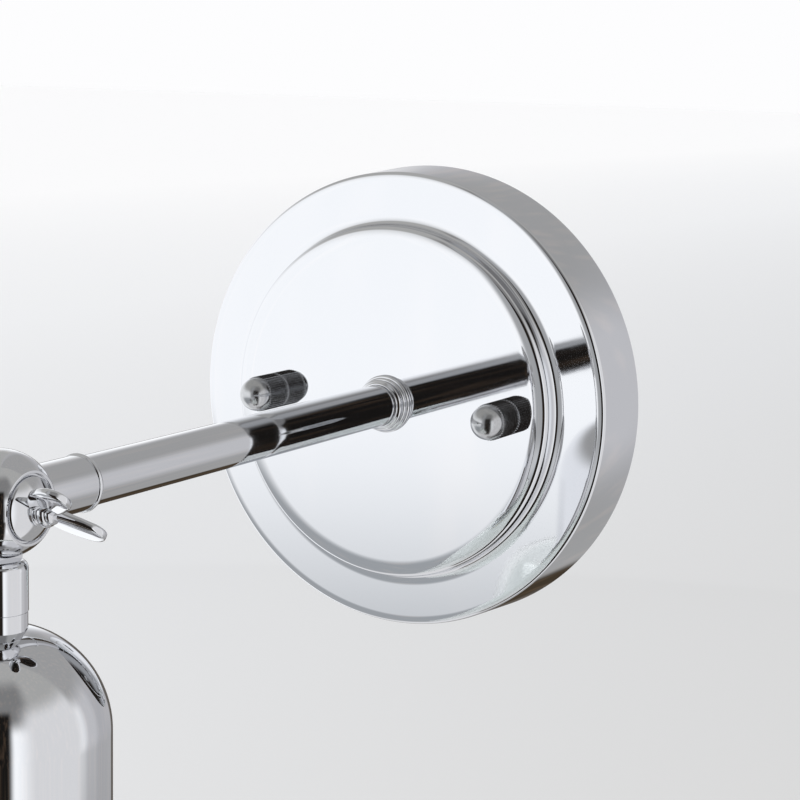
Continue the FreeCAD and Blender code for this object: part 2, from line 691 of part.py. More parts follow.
def socket_cap():
    """The socket's metal cap, with the threaded hub that screws on the pipe."""
    centre = {"y": KNUCKLE}
    hub = rod("cap_hub", "Sizes.socket_hub_rad", "Sizes.socket_cap_top - Sizes.socket_hub_top + 1",
              "down", "Sizes.socket_hub_top", **centre)
    disc = rod("cap_disc", "Sizes.socket_cap_rad", "Sizes.socket_cap_thick", "down",
               "Sizes.socket_cap_top", **centre)
    bore = rod("cap_bore", "Sizes.nipple_rad + Sizes.thread_gap", "Sizes.overcut", "down",
               "Sizes.socket_hub_top - 1", **centre)
    return cut("socket_cap", fuse("cap_blank", hub, disc), bore)


def socket_body():
    """The socket's insulating body, with a threaded skirt for the shade ring."""
    centre = {"y": KNUCKLE}
    top = "Sizes.socket_cap_top + Sizes.socket_cap_thick"
    barrel = rod("socket_barrel", "Sizes.socket_rad", f"Sizes.socket_end - ({top})", "down", top,
                 **centre)
    skirt = rod("socket_skirt", "Sizes.socket_skirt_rad", "Sizes.socket_end - Sizes.socket_skirt_top",
                "down", "Sizes.socket_skirt_top", **centre)
    well = rod("socket_well", "Sizes.lamp_thread_rad + Sizes.screw_shell_wall + Sizes.thread_gap",
               "2 * Sizes.overcut", "down", "Sizes.socket_floor", **centre)
    return cut("socket_body", fuse("socket_blank", barrel, skirt), well)


def screw_shell():
    """The thin metal shell that takes the lamp's thread."""
    centre = {"y": KNUCKLE}
    length = "Sizes.screw_shell_end - Sizes.screw_shell_top"
    outer = rod("shell_outer", "Sizes.lamp_thread_rad + Sizes.screw_shell_wall", length, "down",
                "Sizes.screw_shell_top", **centre)
    inner = rod("shell_inner", "Sizes.lamp_thread_rad", f"{length} + 2", "down",
                "Sizes.screw_shell_top - 1", **centre)
    return cut("screw_shell", outer, inner)


def centre_contact():
    """The live contact on the socket's floor: a round foot and a raised spring button."""
    centre = {"y": KNUCKLE}
    foot = rod("contact_foot", "Sizes.contact_foot_rad", "Sizes.contact_thick", "down",
               "Sizes.socket_floor", **centre)
    button = rod("contact_button", "Sizes.contact_rad", "Sizes.contact_drop", "down",
                 "Sizes.socket_floor", **centre)
    return fuse("centre_contact", foot, button)


def terminal_screws():
    """The two terminal screws on top of the socket's cap."""
    place_y = {"y": KNUCKLE}
    head = rod("terminal_right", "Sizes.terminal_rad", "Sizes.terminal_thick", "down",
               "Sizes.socket_cap_top - Sizes.terminal_thick", x="Sizes.terminal_offset", **place_y)
    return group("terminal_screws", head, mirrored("terminal_left", head))


def shade_gaskets():
    """The soft rings above and below the glass."""
    centre = {"y": KNUCKLE}
    rings = []
    under_glass = ("Sizes.cup_rim + Sizes.gasket_thick + Sizes.glass_thick"
                   " + 2 * Sizes.gasket_gap")
    tops = (("upper", "Sizes.cup_rim"), ("lower", under_glass))
    for name, top in tops:
        disc = rod(f"gasket_{name}_disc", "Sizes.gasket_rad", "Sizes.gasket_thick", "down", top,
                   **centre)
        hole = rod(f"gasket_{name}_hole", "Sizes.glass_hole_rad", "Sizes.overcut", "down",
                   f"{top} - 1", **centre)
        rings.append(cut(f"gasket_{name}", disc, hole))
    return group("shade_gaskets", *rings)


def shade_ring():
    """The threaded ring that clamps the glass from below."""
    centre = {"y": KNUCKLE}
    top = "Sizes.cup_rim + 2 * Sizes.gasket_thick + Sizes.glass_thick + 3 * Sizes.gasket_gap"
    disc = rod("ring_disc", "Sizes.shade_ring_rad", "Sizes.shade_ring_thick", "down", top, **centre)
    edges = circle_at("y", -size("reach"), size("shade_ring_rad"))
    disc = rounded("ring_rounded", disc, size("shade_ring_round"), edges)
    hole = rod("ring_hole", "Sizes.socket_skirt_rad + Sizes.shade_ring_gap", "Sizes.overcut", "down",
               f"{top} - 2", **centre)
    return cut("shade_ring", disc, hole)


def bell_flare(shoulder, waist, skirt, mouth, top, height):
    """The bell's profile from its shoulder to its mouth: one smooth curve in the X-Z plane."""
    curve = Part.BSplineCurve()
    curve.buildFromPoles([
        FreeCAD.Vector(shoulder, 0, top),
        FreeCAD.Vector(waist, 0, top),
        FreeCAD.Vector(waist, 0, top - 0.38 * height),
        FreeCAD.Vector(skirt, 0, top - 0.72 * height),
        FreeCAD.Vector(mouth, 0, top - height),
    ])
    return curve


def glass_shade():
    """The clear glass bell: a flat top round its hole, a shoulder and a flaring skirt."""
    thick = size("glass_thick")
    top = -(size("cup_rim") + size("gasket_thick") + size("gasket_gap"))
    shoulder = size("glass_top_rad")
    mouth = size("glass_mouth_rad")
    height = size("glass_height")
    waist = shoulder + size("glass_shoulder")
    skirt = mouth - size("glass_flare")
    outer = bell_flare(shoulder, waist, skirt, mouth, top, height)
    inner = bell_flare(shoulder, waist - thick, skirt - thick, mouth - thick, top - thick,
                       height - thick)
    hole_top = FreeCAD.Vector(size("glass_hole_rad"), 0, top)
    hole_foot = FreeCAD.Vector(size("glass_hole_rad"), 0, top - thick)
    outline = Part.Wire([
        Part.LineSegment(hole_top, outer.StartPoint).toShape(),
        outer.toShape(),
        Part.LineSegment(outer.EndPoint, inner.EndPoint).toShape(),
        inner.toShape(),
        Part.LineSegment(inner.StartPoint, hole_foot).toShape(),
        Part.LineSegment(hole_foot, hole_top).toShape(),
    ])
    glass = doc.addObject("Part::Feature", "glass_shade")
    z_axis = FreeCAD.Vector(0, 0, 1)
    solid = Part.Face(outline).revolve(FreeCAD.Vector(0, 0, 0), z_axis, 360)
    glass.Shape = Part.Solid(solid) if solid.ShapeType == "Shell" else solid
    glass.Placement.Base = FreeCAD.Vector(0, -size("reach"), 0)
    return glass


def check(part):
    """Stop if a sub-part failed, is empty or isn't valid."""
    shape = part.Shape
    if shape.isNull() or not shape.isValid() or not shape.Solids:
        raise RuntimeError(f"{part.Label}: no valid solid")


SUB_PARTS = [
    canopy(), wall_bracket(), bracket_studs(), stud_nuts(),
    cap_nut("cap_nut_left", -1), cap_nut("cap_nut_right", 1),
    ground_screw(), arm_ferrule(), arm_tube(), arm_nipple(), nipple_washer(), nipple_nut(),
    knuckle_sleeve(), knuckle_ball(), friction_washers(), clamp_washer(), wing_screw(),
    swivel_stem(), stem_collar(), socket_cup(), cup_nipple(), cup_nut(), socket_cap(),
    socket_body(), screw_shell(), centre_contact(), terminal_screws(), shade_gaskets(),
    shade_ring(), glass_shade(),
]
doc.recompute()
failed = [item.Label for item in doc.Objects if set(item.State) & {"Invalid", "Error"}]
if failed:
    raise RuntimeError("failed: " + ", ".join(failed))
os.makedirs("parts", exist_ok=True)
for part in SUB_PARTS:
    check(part)
    part.Shape.exportStep(os.path.join("parts", part.Label + ".step"))
    print(f"{part.Label}: {len(part.Shape.Solids)} solid(s), {part.Shape.Volume:.0f} mm3")
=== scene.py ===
# %% [markdown]
# # A chrome wall sconce
# A round spun canopy carries a straight arm. At its end a ball knuckle with a wing screw holds a head that
# tilts: a stem, a domed cup over the lamp socket, and a clear glass bell.
# The frame below brings in the engineering model. Its bodies, places and sizes are fixed, and this script
# only makes the surfaces that the eye sees, at the sizes that the frame gives.

# %% Load the frame
import json
import math

import bmesh
import bpy
import numpy as np
from mathutils import Matrix, Vector


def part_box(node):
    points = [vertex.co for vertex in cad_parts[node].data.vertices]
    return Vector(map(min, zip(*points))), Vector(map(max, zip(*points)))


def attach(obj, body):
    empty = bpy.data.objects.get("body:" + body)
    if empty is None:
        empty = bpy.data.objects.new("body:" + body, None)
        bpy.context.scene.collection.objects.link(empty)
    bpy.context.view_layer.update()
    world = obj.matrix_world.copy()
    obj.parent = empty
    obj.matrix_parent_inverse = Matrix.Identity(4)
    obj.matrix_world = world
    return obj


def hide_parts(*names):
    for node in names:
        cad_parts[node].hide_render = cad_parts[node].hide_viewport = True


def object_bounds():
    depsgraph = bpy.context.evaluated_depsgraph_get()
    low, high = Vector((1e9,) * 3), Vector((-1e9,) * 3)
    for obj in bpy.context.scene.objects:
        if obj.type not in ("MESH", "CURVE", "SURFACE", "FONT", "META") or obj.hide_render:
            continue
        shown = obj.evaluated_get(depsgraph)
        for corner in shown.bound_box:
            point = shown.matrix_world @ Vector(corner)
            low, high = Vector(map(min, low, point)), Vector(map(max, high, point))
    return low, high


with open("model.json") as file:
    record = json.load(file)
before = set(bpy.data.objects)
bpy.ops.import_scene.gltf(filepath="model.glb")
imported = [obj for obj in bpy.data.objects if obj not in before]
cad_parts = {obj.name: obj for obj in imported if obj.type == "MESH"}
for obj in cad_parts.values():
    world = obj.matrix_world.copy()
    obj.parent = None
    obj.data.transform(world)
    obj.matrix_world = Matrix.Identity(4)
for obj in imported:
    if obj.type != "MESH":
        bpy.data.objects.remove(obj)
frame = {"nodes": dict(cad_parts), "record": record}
cad_box = [list(corner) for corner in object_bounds()]
MM = 0.001
print("box in mm:", [[round(v / MM, 1) for v in corner] for corner in cad_box])

# %% [markdown]
# ## Helpers for shapes
# Nearly every piece of a lamp is turned on a lathe, spun over a form or drawn as tube. So most shapes here are
# an outline carried round an axis. The outline is a polygon whose corners have radii, because a real edge is
# never sharp, and a polished one shows its radius as a bright line.
# A long flat stretch beside a small radius gets an extra point close to each end. Without it the smooth
# shading would bend the mirror image over the whole flat.

# %% Outlines with rounded corners
SUPPORT = 0.04 * MM


def rounded(corners, step=math.radians(6)):
    """Points along a polyline whose corners are (across, along, radius): each inner corner is replaced by the
    arc of that radius that touches both its sides, cut in steps of about the given angle. A radius of 0 keeps
    the corner, and one below 0 marks a point on a smooth curve."""
    corners = [np.array(c, float) for c in corners]
    points = [corners[0][:2]]
    for before, corner, after in zip(corners, corners[1:], corners[2:]):
        back = before[:2] - corner[:2]
        ahead = after[:2] - corner[:2]
        back /= np.linalg.norm(back)
        ahead /= np.linalg.norm(ahead)
        turn = math.pi - math.acos(np.clip(back @ ahead, -1, 1))
        if corner[2] < 0:
            points.append(corner[:2])
            continue
        if corner[2] == 0 or turn < 1e-3:
            points += [corner[:2] + back * SUPPORT, corner[:2], corner[:2] + ahead * SUPPORT]
            continue
        reach = corner[2] * math.tan(turn / 2)
        middle = corner[:2] + (back + ahead) / np.linalg.norm(back + ahead) * corner[2] / math.cos(turn / 2)
        start = corner[:2] + back * reach - middle
        side = corner[:2] + ahead * reach - middle
        count = max(3, int(turn / step) + 1)
        t = np.linspace(0, 1, count)[:, None]
        bend = (np.sin((1 - t) * turn) * start + np.sin(t * turn) * side) / math.sin(turn)
        points.append(corner[:2] + back * (reach + SUPPORT))
        points += list(middle + bend)
        points.append(corner[:2] + ahead * (reach + SUPPORT))
    points.append(corners[-1][:2])
    return np.array(points)


def in_mm(corners):
    """The same corners, given in millimetres."""
    return [tuple(value * MM for value in corner) for corner in corners]


def arc(across, along, radius, start, end, count=24):
    """Points on a circle, as corners on a smooth curve, with angles in degrees from the outward direction."""
    angle = np.radians(np.linspace(start, end, count))
    return [(across + radius * c, along + radius * s, -1) for c, s in zip(np.cos(angle), np.sin(angle))]


# %% [markdown]
# ## From a grid of points to a closed mesh
# A grid is an array of rows and columns of points. Rows run along the outline, and columns go round. The
# faces are worked out as whole arrays. Points that fall together, at a seam or on the axis, are merged, so
# the mesh is closed. Its enclosed volume then tells whether the faces point outwards: if it is negative,
# they are turned.

# %% Meshes from grids
def skin(grid, wrap_rows=False, wrap_columns=True):
    """Points and quads of a grid (rows, columns, 3)."""
    rows, columns = grid.shape[:2]
    index = np.arange(rows * columns).reshape(rows, columns)
    if wrap_rows:
        index = np.vstack([index, index[:1]])
    if wrap_columns:
        index = np.hstack([index, index[:, :1]])
    quads = np.stack([index[:-1, :-1], index[:-1, 1:], index[1:, 1:], index[1:, :-1]], -1)
    return grid.reshape(-1, 3), quads.reshape(-1, 4)


def volume(points, quads):
    """Signed volume inside closed quads: a sum of tetrahedra from the mean point."""
    p = points - points.mean(0)
    a, b, c, d = (p[quads[:, i]] for i in range(4))
    return (np.einsum("ij,ij->i", a, np.cross(b, c)) + np.einsum("ij,ij->i", a, np.cross(c, d))).sum() / 6


def piece(name, parts, sharp=math.radians(40)):
    """One object from closed (points, quads) shells, each turned to face outwards."""
    points, faces, count = [], [], 0
    for part_points, quads in parts:
        if volume(part_points, quads) < 0:
            quads = quads[:, ::-1]
        points.append(part_points)
        faces.append(quads + count)
        count += len(part_points)
    mesh = bpy.data.meshes.new(name)
    mesh.from_pydata(np.vstack(points).tolist(), [], np.vstack(faces).tolist())
    work = bmesh.new()
    work.from_mesh(mesh)
    bmesh.ops.remove_doubles(work, verts=work.verts, dist=1e-7)
    bmesh.ops.dissolve_degenerate(work, edges=work.edges, dist=1e-8)
    work.to_mesh(mesh)
    work.free()
    obj = bpy.data.objects.new(name, mesh)
    bpy.context.scene.collection.objects.link(obj)
    mesh.shade_smooth()
    mesh.set_sharp_from_angle(angle=sharp)
    return obj


# %% [markdown]
# ## Turning an outline about an axis
# The sconce has three axes. The arm points along Y, the pivot along X and the head hangs along Z. The first
# number of an outline's point is its distance from the axis, the second its place along it.

# %% Turned shells
KNUCKLE = sum(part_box("clamp_washer"), Vector()) * 0.5
KNUCKLE.x = KNUCKLE.z = 0
AXES = {
    "arm": (Vector((0, 0, 0)), Vector((0, -1, 0)), Vector((1, 0, 0)), Vector((0, 0, 1))),
    "pivot": (KNUCKLE, Vector((1, 0, 0)), Vector((0, 1, 0)), Vector((0, 0, 1))),
    "head": (KNUCKLE, Vector((0, 0, -1)), Vector((1, 0, 0)), Vector((0, 1, 0))),
}
print("knuckle centre in mm:", [round(v / MM, 2) for v in KNUCKLE])


def turned(outline, axis, around=192, origin=None, swell=None):
    """An outline of (radius, along) carried once round an axis: each point becomes a circle. It is joined end
    to end unless both ends lie on the axis. A swell is added to the radius at each point and angle."""
    start, along, across, up = (np.array(v) for v in AXES[axis])
    if origin is not None:
        start = np.array(origin)
    angle = np.linspace(0, 2 * np.pi, around, endpoint=False)
    ring = np.cos(angle)[:, None] * across + np.sin(angle)[:, None] * up
    radius = outline[:, 0, None] + (0 if swell is None else swell(outline, angle))
    grid = start + (radius * np.ones(around))[:, :, None] * ring[None] + outline[:, 1, None, None] * along
    on_axis = max(outline[0, 0], outline[-1, 0]) < 1e-9
    return skin(grid, wrap_rows=not on_axis)


def span(name, axis):
    """Where a CAD node starts and ends along X, Y or Z, in mm."""
    low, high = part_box(name)
    return low["XYZ".index(axis)] / MM, high["XYZ".index(axis)] / MM


# %% [markdown]
# ## Colours and nodes
# Colours are written as the sRGB hex values that a designer would pick, and one function turns them to the
# linear values that the renderer works with. One more function adds a shader node with its settings and
# links. Everything else is said once for each material.

# %% Colour and node helpers
def linear(hexadecimal):
    """Linear RGBA from an sRGB hex string: the sRGB curve undone for each channel."""
    channels = [int(hexadecimal[i:i + 2], 16) / 255 for i in (1, 3, 5)]
    return tuple(c / 12.92 if c <= 0.04045 else ((c + 0.055) / 1.055) ** 2.4 for c in channels) + (1.0,)


def node(tree, kind, settings=None, inputs=None):
    """Add a node; an input's value is a number, a colour or another node's output."""
    new = tree.nodes.new(kind)
    for name, value in (settings or {}).items():
        setattr(new, name, value)
    for name, value in (inputs or {}).items():
        if isinstance(value, bpy.types.NodeSocket):
            tree.links.new(value, new.inputs[name])
        else:
            new.inputs[name].default_value = value
    return new


def material(name, **sockets):
    """A new material with a Principled shader; the keywords set its own sockets."""
    made = bpy.data.materials.new(name)
    made.use_nodes = True
    shader = made.node_tree.nodes["Principled BSDF"]
    for socket, value in sockets.items():
        shader.inputs[socket.replace("_", " ")].default_value = value
    return made, made.node_tree, shader


def ramp(tree, factor, stops):
    """A colour ramp from (position, colour) stops."""
    new = node(tree, "ShaderNodeValToRGB", inputs={"Fac": factor})
    elements = new.color_ramp.elements
    while len(elements) < len(stops):
        elements.new(1.0)
    for element, (position, colour) in zip(elements, stops):
        element.position = position
        element.color = colour
    return new.outputs["Color"]


def spread(tree, value, low, high):
    """A 0 to 1 value mapped to a range."""
    new = node(tree, "ShaderNodeMapRange", inputs={"Value": value, "To Min": low, "To Max": high})
    return new.outputs["Result"]


def place_of(tree):
    """Object coordinates, in metres, because every finished piece sits at the origin."""
    return node(tree, "ShaderNodeTexCoord").outputs["Object"]


def noise(tree, size_mm, detail=2.0, rough=0.5):
    """Noise whose lumps are about the given size."""
    return node(tree, "ShaderNodeTexNoise", inputs={
        "Vector": place_of(tree), "Scale": 1 / (size_mm * MM), "Detail": detail, "Roughness": rough,
    }).outputs["Fac"]


def bump(tree, shader, height, depth_mm, strength=1.0):
    """Raise the surface by a pattern, to a depth in millimetres."""
    new = node(tree, "ShaderNodeBump", inputs={
        "Height": height, "Distance": depth_mm * MM, "Strength": strength})
    tree.links.new(new.outputs["Normal"], shader.inputs["Normal"])


def finish(obj, made, body, replaced=()):
    """Give a piece its material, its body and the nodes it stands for."""
    obj.data.materials.clear()
    obj.data.materials.append(made)
    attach(obj, body)
    if replaced:
        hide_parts(*replaced)
    size = [round((hi - lo) / MM, 1) for lo, hi in zip(*corners_of(obj))]
    print(f"{obj.name}: {len(obj.data.polygons)} faces, {size} mm")
    return obj


def corners_of(obj):
    """Lowest and highest corner of a piece's mesh."""
    co = np.empty(len(obj.data.vertices) * 3, np.float32)
    obj.data.vertices.foreach_get("co", co)
    co = co.reshape(-1, 3)
    return co.min(0).tolist(), co.max(0).tolist()


# %% [markdown]
# ## Polished chrome
# Chrome plate on polished brass or steel is nearly a mirror with a slightly blue white. It gives the eye
# almost nothing of its own: what shows is the room. Two small things keep it real. The plating has a faint
# orange peel about 4 mm across and a thousandth of a millimetre deep, which makes long reflections waver,
# and the polish varies a little, which softens some of them.

# %% Chrome
def polished_chrome():
    made, tree, shader = material("polished_chrome_plate", Metallic=1.0, Base_Color=linear("#E4E5E8"))
    haze = noise(tree, 9.0, detail=3.0)
    tree.links.new(spread(tree, haze, 0.015, 0.06), shader.inputs["Roughness"])
    bump(tree, shader, noise(tree, 4.0), 0.002, 0.5)
    return made


def spun_inside():
    """The inside of the canopy: thin plating over spun steel, with the rings of the spinning roller."""
    made, tree, shader = material("plated_spun_steel_inside", Metallic=1.0)
    where = node(tree, "ShaderNodeSeparateXYZ", inputs={"Vector": place_of(tree)})
    across = node(tree, "ShaderNodeCombineXYZ",
                  inputs={"X": where.outputs["X"], "Y": where.outputs["Z"]})
    rings = node(tree, "ShaderNodeTexWave", {"wave_type": "RINGS", "rings_direction": "SPHERICAL"}, {
        "Vector": across.outputs["Vector"], "Scale": 160.0, "Distortion": 0.6, "Detail": 1.0})
    tree.links.new(ramp(tree, noise(tree, 14.0, 4.0), [(0.3, linear("#9EA0A2")), (0.7, linear("#B9BBBC"))]),
                   shader.inputs["Base Color"])
    tree.links.new(spread(tree, rings.outputs["Fac"], 0.26, 0.38), shader.inputs["Roughness"])
    bump(tree, shader, rings.outputs["Fac"], 0.01, 0.5)
    return made


chrome = polished_chrome()
inside_plate = spun_inside()
print("made", chrome.name, "and", inside_plate.name)

# %% [markdown]
# ## Satin chrome
# The cap nuts come out of the tumbling drum, so their chrome is silkier: the fine scratches blur the room
# into soft greys, and the round noses carry one broad highlight.

# %% Satin chrome
def satin_chrome():
    """Soft, slightly grey highlights with a faint grain."""
    made, tree, shader = material("satin_chrome", Metallic=1.0)
    grain = noise(tree, 0.4, 3.0)
    tree.links.new(ramp(tree, grain, [(0.3, linear("#BFC0C2")), (0.7, linear("#CCCDCF"))]),
                   shader.inputs["Base Color"])
    tree.links.new(spread(tree, grain, 0.17, 0.25), shader.inputs["Roughness"])
    return made


satin = satin_chrome()

# %% [markdown]
# ## Zinc, brass, nickel and green lacquer
# The parts behind the canopy and in the socket are plain hardware. Zinc plate is a cool grey metal with a
# faint crystal pattern, and turned brass gets the same cells in its own yellow. The lamp shell is nickel
# plated, so it is warmer and softer than chrome. The grounding screw is dyed green, as the wiring rules ask.

# %% Hardware metals
def hardware_metal(name, dark, light, grain_mm, smooth, rough):
    """A plated metal: cells of slightly different brightness and polish."""
    made, tree, shader = material(name, Metallic=1.0)
    cells = node(tree, "ShaderNodeTexVoronoi",
                 inputs={"Vector": place_of(tree), "Scale": 1 / (grain_mm * MM)})
    tone = node(tree, "ShaderNodeSeparateColor", inputs={"Color": cells.outputs["Color"]}).outputs["Red"]
    tree.links.new(ramp(tree, tone, [(0.0, linear(dark)), (1.0, linear(light))]), shader.inputs["Base Color"])
    wear = noise(tree, grain_mm * 2.5, 4.0)
    tree.links.new(spread(tree, wear, smooth, rough), shader.inputs["Roughness"])
    bump(tree, shader, noise(tree, 0.35, 3.0), 0.004, 0.6)
    return made


zinc = hardware_metal("zinc_plated_steel", "#A9ACAD", "#BFC2C2", 3.0, 0.22, 0.42)
brass = hardware_metal("turned_brass", "#B8934A", "#CDAA60", 1.5, 0.16, 0.34)
nickel = hardware_metal("nickel_plated_brass", "#B9B4A8", "#C9C5BA", 2.0, 0.12, 0.26)


def green_lacquer():
    made, tree, shader = material("green_dyed_steel", Metallic=0.7, Coat_Weight=0.5, Coat_Roughness=0.15)
    tree.links.new(ramp(tree, noise(tree, 1.2, 3.0), [(0.35, linear("#175C2B")), (0.7, linear("#2A8443"))]),
                   shader.inputs["Base Color"])
    tree.links.new(spread(tree, noise(tree, 0.8), 0.25, 0.45), shader.inputs["Roughness"])
    bump(tree, shader, noise(tree, 0.5, 2.0), 0.01, 0.4)
    return made


green = green_lacquer()
print("made", zinc.name, brass.name, nickel.name, green.name)

# %% [markdown]
# ## Porcelain, fibre, silicone and glass
# The socket is glazed porcelain: a warm white body under a clear coat, with a little unevenness. The friction
# washers are red vulcanised fibre. The gaskets are milky silicone. The shade is clear blown glass, which has
# a slow waviness, because nothing touches the hot surface on its outside.

# %% Other finishes
def glazed_porcelain():
    made, tree, shader = material("glazed_porcelain", IOR=1.5, Coat_Weight=1.0, Coat_Roughness=0.04,
                                  Subsurface_Weight=0.1)
    shader.inputs["Subsurface Radius"].default_value = (0.002, 0.0015, 0.001)
    tree.links.new(ramp(tree, noise(tree, 6.0, 4.0), [(0.3, linear("#E9E4D8")), (0.7, linear("#F4F1E9"))]),
                   shader.inputs["Base Color"])
    tree.links.new(spread(tree, noise(tree, 3.0), 0.12, 0.25), shader.inputs["Roughness"])
    bump(tree, shader, noise(tree, 5.0, 1.0), 0.02, 0.4)
    return made


def vulcanised_fibre():
    made, tree, shader = material("vulcanised_fibre", IOR=1.5, Roughness=0.6)
    tree.links.new(ramp(tree, noise(tree, 0.3, 5.0), [(0.3, linear("#552018")), (0.7, linear("#7A3527"))]),
                   shader.inputs["Base Color"])
    bump(tree, shader, noise(tree, 0.25, 4.0), 0.02, 0.6)
    return made


def milky_silicone():
    made, tree, shader = material("milky_silicone", IOR=1.41, Subsurface_Weight=0.4)
    shader.inputs["Subsurface Radius"].default_value = (0.002, 0.002, 0.002)
    tree.links.new(ramp(tree, noise(tree, 2.0, 2.0), [(0.3, linear("#DADAD6")), (0.7, linear("#ECECE8"))]),
                   shader.inputs["Base Color"])
    tree.links.new(spread(tree, noise(tree, 1.0), 0.35, 0.5), shader.inputs["Roughness"])
    return made


def blown_glass():
    made, tree, shader = material("clear_blown_glass", IOR=1.52, Transmission_Weight=1.0, Roughness=0.0,
                                  Base_Color=linear("#F7FBFA"))
    bump(tree, shader, noise(tree, 28.0, 1.0), 0.12, 0.5)
    return made


porcelain = glazed_porcelain()
fibre = vulcanised_fibre()
silicone = milky_silicone()
glass = blown_glass()
print("made", porcelain.name, fibre.name, silicone.name, glass.name)

# %% [markdown]
# ## The canopy
# The cover is spun from one steel sheet over a form. A straight side, slightly tapered, turns over a tight
# edge into a flat ring. Inside the ring the sheet rises through a soft double bend to a flat raised disc.
# That double bend gives the bundle of fine lines round the disc, because each of its curves mirrors
# the whole room in a narrow band. It is made as one closed outline, front and back, turned about the arm.

# %% Canopy
sheet = 1.2
canopy_low, canopy_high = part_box("canopy")
canopy_back = canopy_high.x / MM
disc_plane = -canopy_low.y / MM
canopy_taper = 1.1
ring_plane = disc_plane - 5.6
flat_rad = 46.3
edge_width = 2.8
hole = 5.1


def pressed_edge(start, turns, steps=16):
    """A line pressed over a form. It starts at (radius, depth), and each turn is (tilt at its start, tilt at
    its end, length); between them the tilt of the sheet changes evenly. The line is the running sum of
    cos(tilt) outwards and of sin(tilt) backwards."""
    tilt = np.concatenate([np.linspace(low, high, steps, endpoint=False) for low, high, _ in turns])
    stride = np.concatenate([np.full(steps, length / steps) for _, _, length in turns])
    radius = start[0] + np.cumsum(np.cos(np.radians(tilt)) * stride)
    depth = start[1] - np.cumsum(np.sin(np.radians(tilt)) * stride)
    return [start] + list(zip(radius.tolist(), depth.tolist()))


# a slow fall, the round edge of the disc, a short wall, the round foot and a slow run-out
rim = pressed_edge((flat_rad, disc_plane),
                   [(0, 14, 4.0), (14, 86, 2.1), (86, 88, 2.0), (86, 14, 1.8), (14, 0, 2.2)])
# its depth is stretched a little, so that it ends on the plane of the ring
drop = (disc_plane - ring_plane) / (disc_plane - rim[-1][1])
rim = [(radius, disc_plane - (disc_plane - depth) * drop) for radius, depth in rim]
edge_start = canopy_back - canopy_taper - edge_width
shoulder = pressed_edge((edge_start, ring_plane), [(0, 12, 1.7), (12, 86, 1.6)])
canopy_outline = rounded(in_mm(
    [(hole, disc_plane, 0)] + [(radius, depth, -1) for radius, depth in rim]
    + [(rim[-1][0] + 0.1, ring_plane, -1), (edge_start - 0.1, ring_plane, -1)]
    + [(radius, depth, -1) for radius, depth in shoulder]
    + [(canopy_back, 0, 0.3), (canopy_back - sheet, 0, 0.3),
       (canopy_back - canopy_taper - sheet, ring_plane - sheet, 1.2)]
    + [(radius - sheet / 2, depth - sheet, -1) for radius, depth in rim[:8:-1]]
    + [(hole, disc_plane - sheet, 0)]))
print("rim from", [round(v, 2) for v in rim[0]], "to", [round(v, 2) for v in rim[-1]],
      "side starts at", [round(v, 2) for v in shoulder[-1]])
canopy = piece("canopy_spun", [turned(canopy_outline, "arm", around=320)])
finish(canopy, chrome, "wall_arm", ["canopy"])
canopy.data.materials.append(inside_plate)
normals = np.empty(len(canopy.data.polygons) * 3, np.float32)
canopy.data.polygons.foreach_get("normal", normals)
centres = np.empty(len(canopy.data.polygons) * 3, np.float32)
canopy.data.polygons.foreach_get("center", centres)
normals, centres = normals.reshape(-1, 3), centres.reshape(-1, 3)
inward = (normals * (centres * [1, 0, 1])).sum(1) < -0.01 * MM
facing_back = (normals[:, 1] > 0.5) & (centres[:, 1] < -sheet * MM)
unpolished = inward & (centres[:, 1] < 0) | facing_back
canopy.data.polygons.foreach_set("material_index", unpolished.astype(np.int32))
print("inside faces:", int((inward | facing_back).sum()))

# %% [markdown]
# ## The knurled cap nuts
# Two finger nuts hold the canopy to the studs of the wall plate. They are turned from brass bar: the knurling
# wheel presses straight ridges into the side, and they run out where the round nose begins. A
# knurl seems dark, because its flanks mirror the room far to the left and right, with a bright thread on
# each crest. Here the ridges are a swell of the radius that dies out before the nose.

# %% Cap nuts
ridges = 44
ridge_depth = 0.35
knurl_end = 9.8
stud_bore, bore_depth = 2.05, 8.0
nut_back = disc_plane
for name in ("cap_nut_left", "cap_nut_right"):
    low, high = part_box(name)
    nut_rad = (high.z - low.z) / 2 / MM
    nut_tip = -low.y / MM - nut_back
    root = nut_rad - ridge_depth
    outline = rounded(in_mm(
        [(0, bore_depth, 0), (stud_bore, bore_depth, 0.1), (stud_bore, 0, 0.2), (root - 0.12, 0, 0.02),
         (root, 0.12, 0.05)]
        + [(root, along, -1) for along in (0.25, 0.4, 1.5, 4.0, 7.0, 8.6, 8.9, 9.2, 9.5)]
        + [(root, knurl_end, 0)]
        + [(root * math.cos(t), knurl_end + (nut_tip - knurl_end) * math.sin(t), -1)
           for t in np.radians(np.arange(5, 90, 5))] + [(0, nut_tip, 0)]))

    def knurl(points, angle):
        """Ridges round the nut: a rounded saw wave in the angle, faded out at both ends."""
        along = points[:, 1] / MM
        fade = np.clip((along - 0.1) / 0.2, 0, 1) * np.clip((knurl_end - 0.1 - along) / 0.5, 0, 1)
        fade = fade * (points[:, 0] > (root - 0.01) * MM)
        wave = 1 - np.abs(np.sin(angle * ridges / 2)) ** 0.8
        return fade[:, None] * wave[None] * ridge_depth * MM

    middle = (low + high) / 2
    nut = piece(f"{name}_knurled", [turned(outline, "arm", around=ridges * 12, swell=knurl,
                                           origin=(middle.x, -nut_back * MM, middle.z))])
    finish(nut, satin, "wall_arm", [name])

# %% [markdown]
# ## The arm and its ferrule
# The arm is straight drawn tube. Where it meets the canopy a cast ferrule covers the joint: a thin rim on the
# disc, a round bead, a step, a small bead and a nose that fits the tube. Each bead is a narrow convex mirror,
# so the ferrule reads as a bundle of light and dark rings.

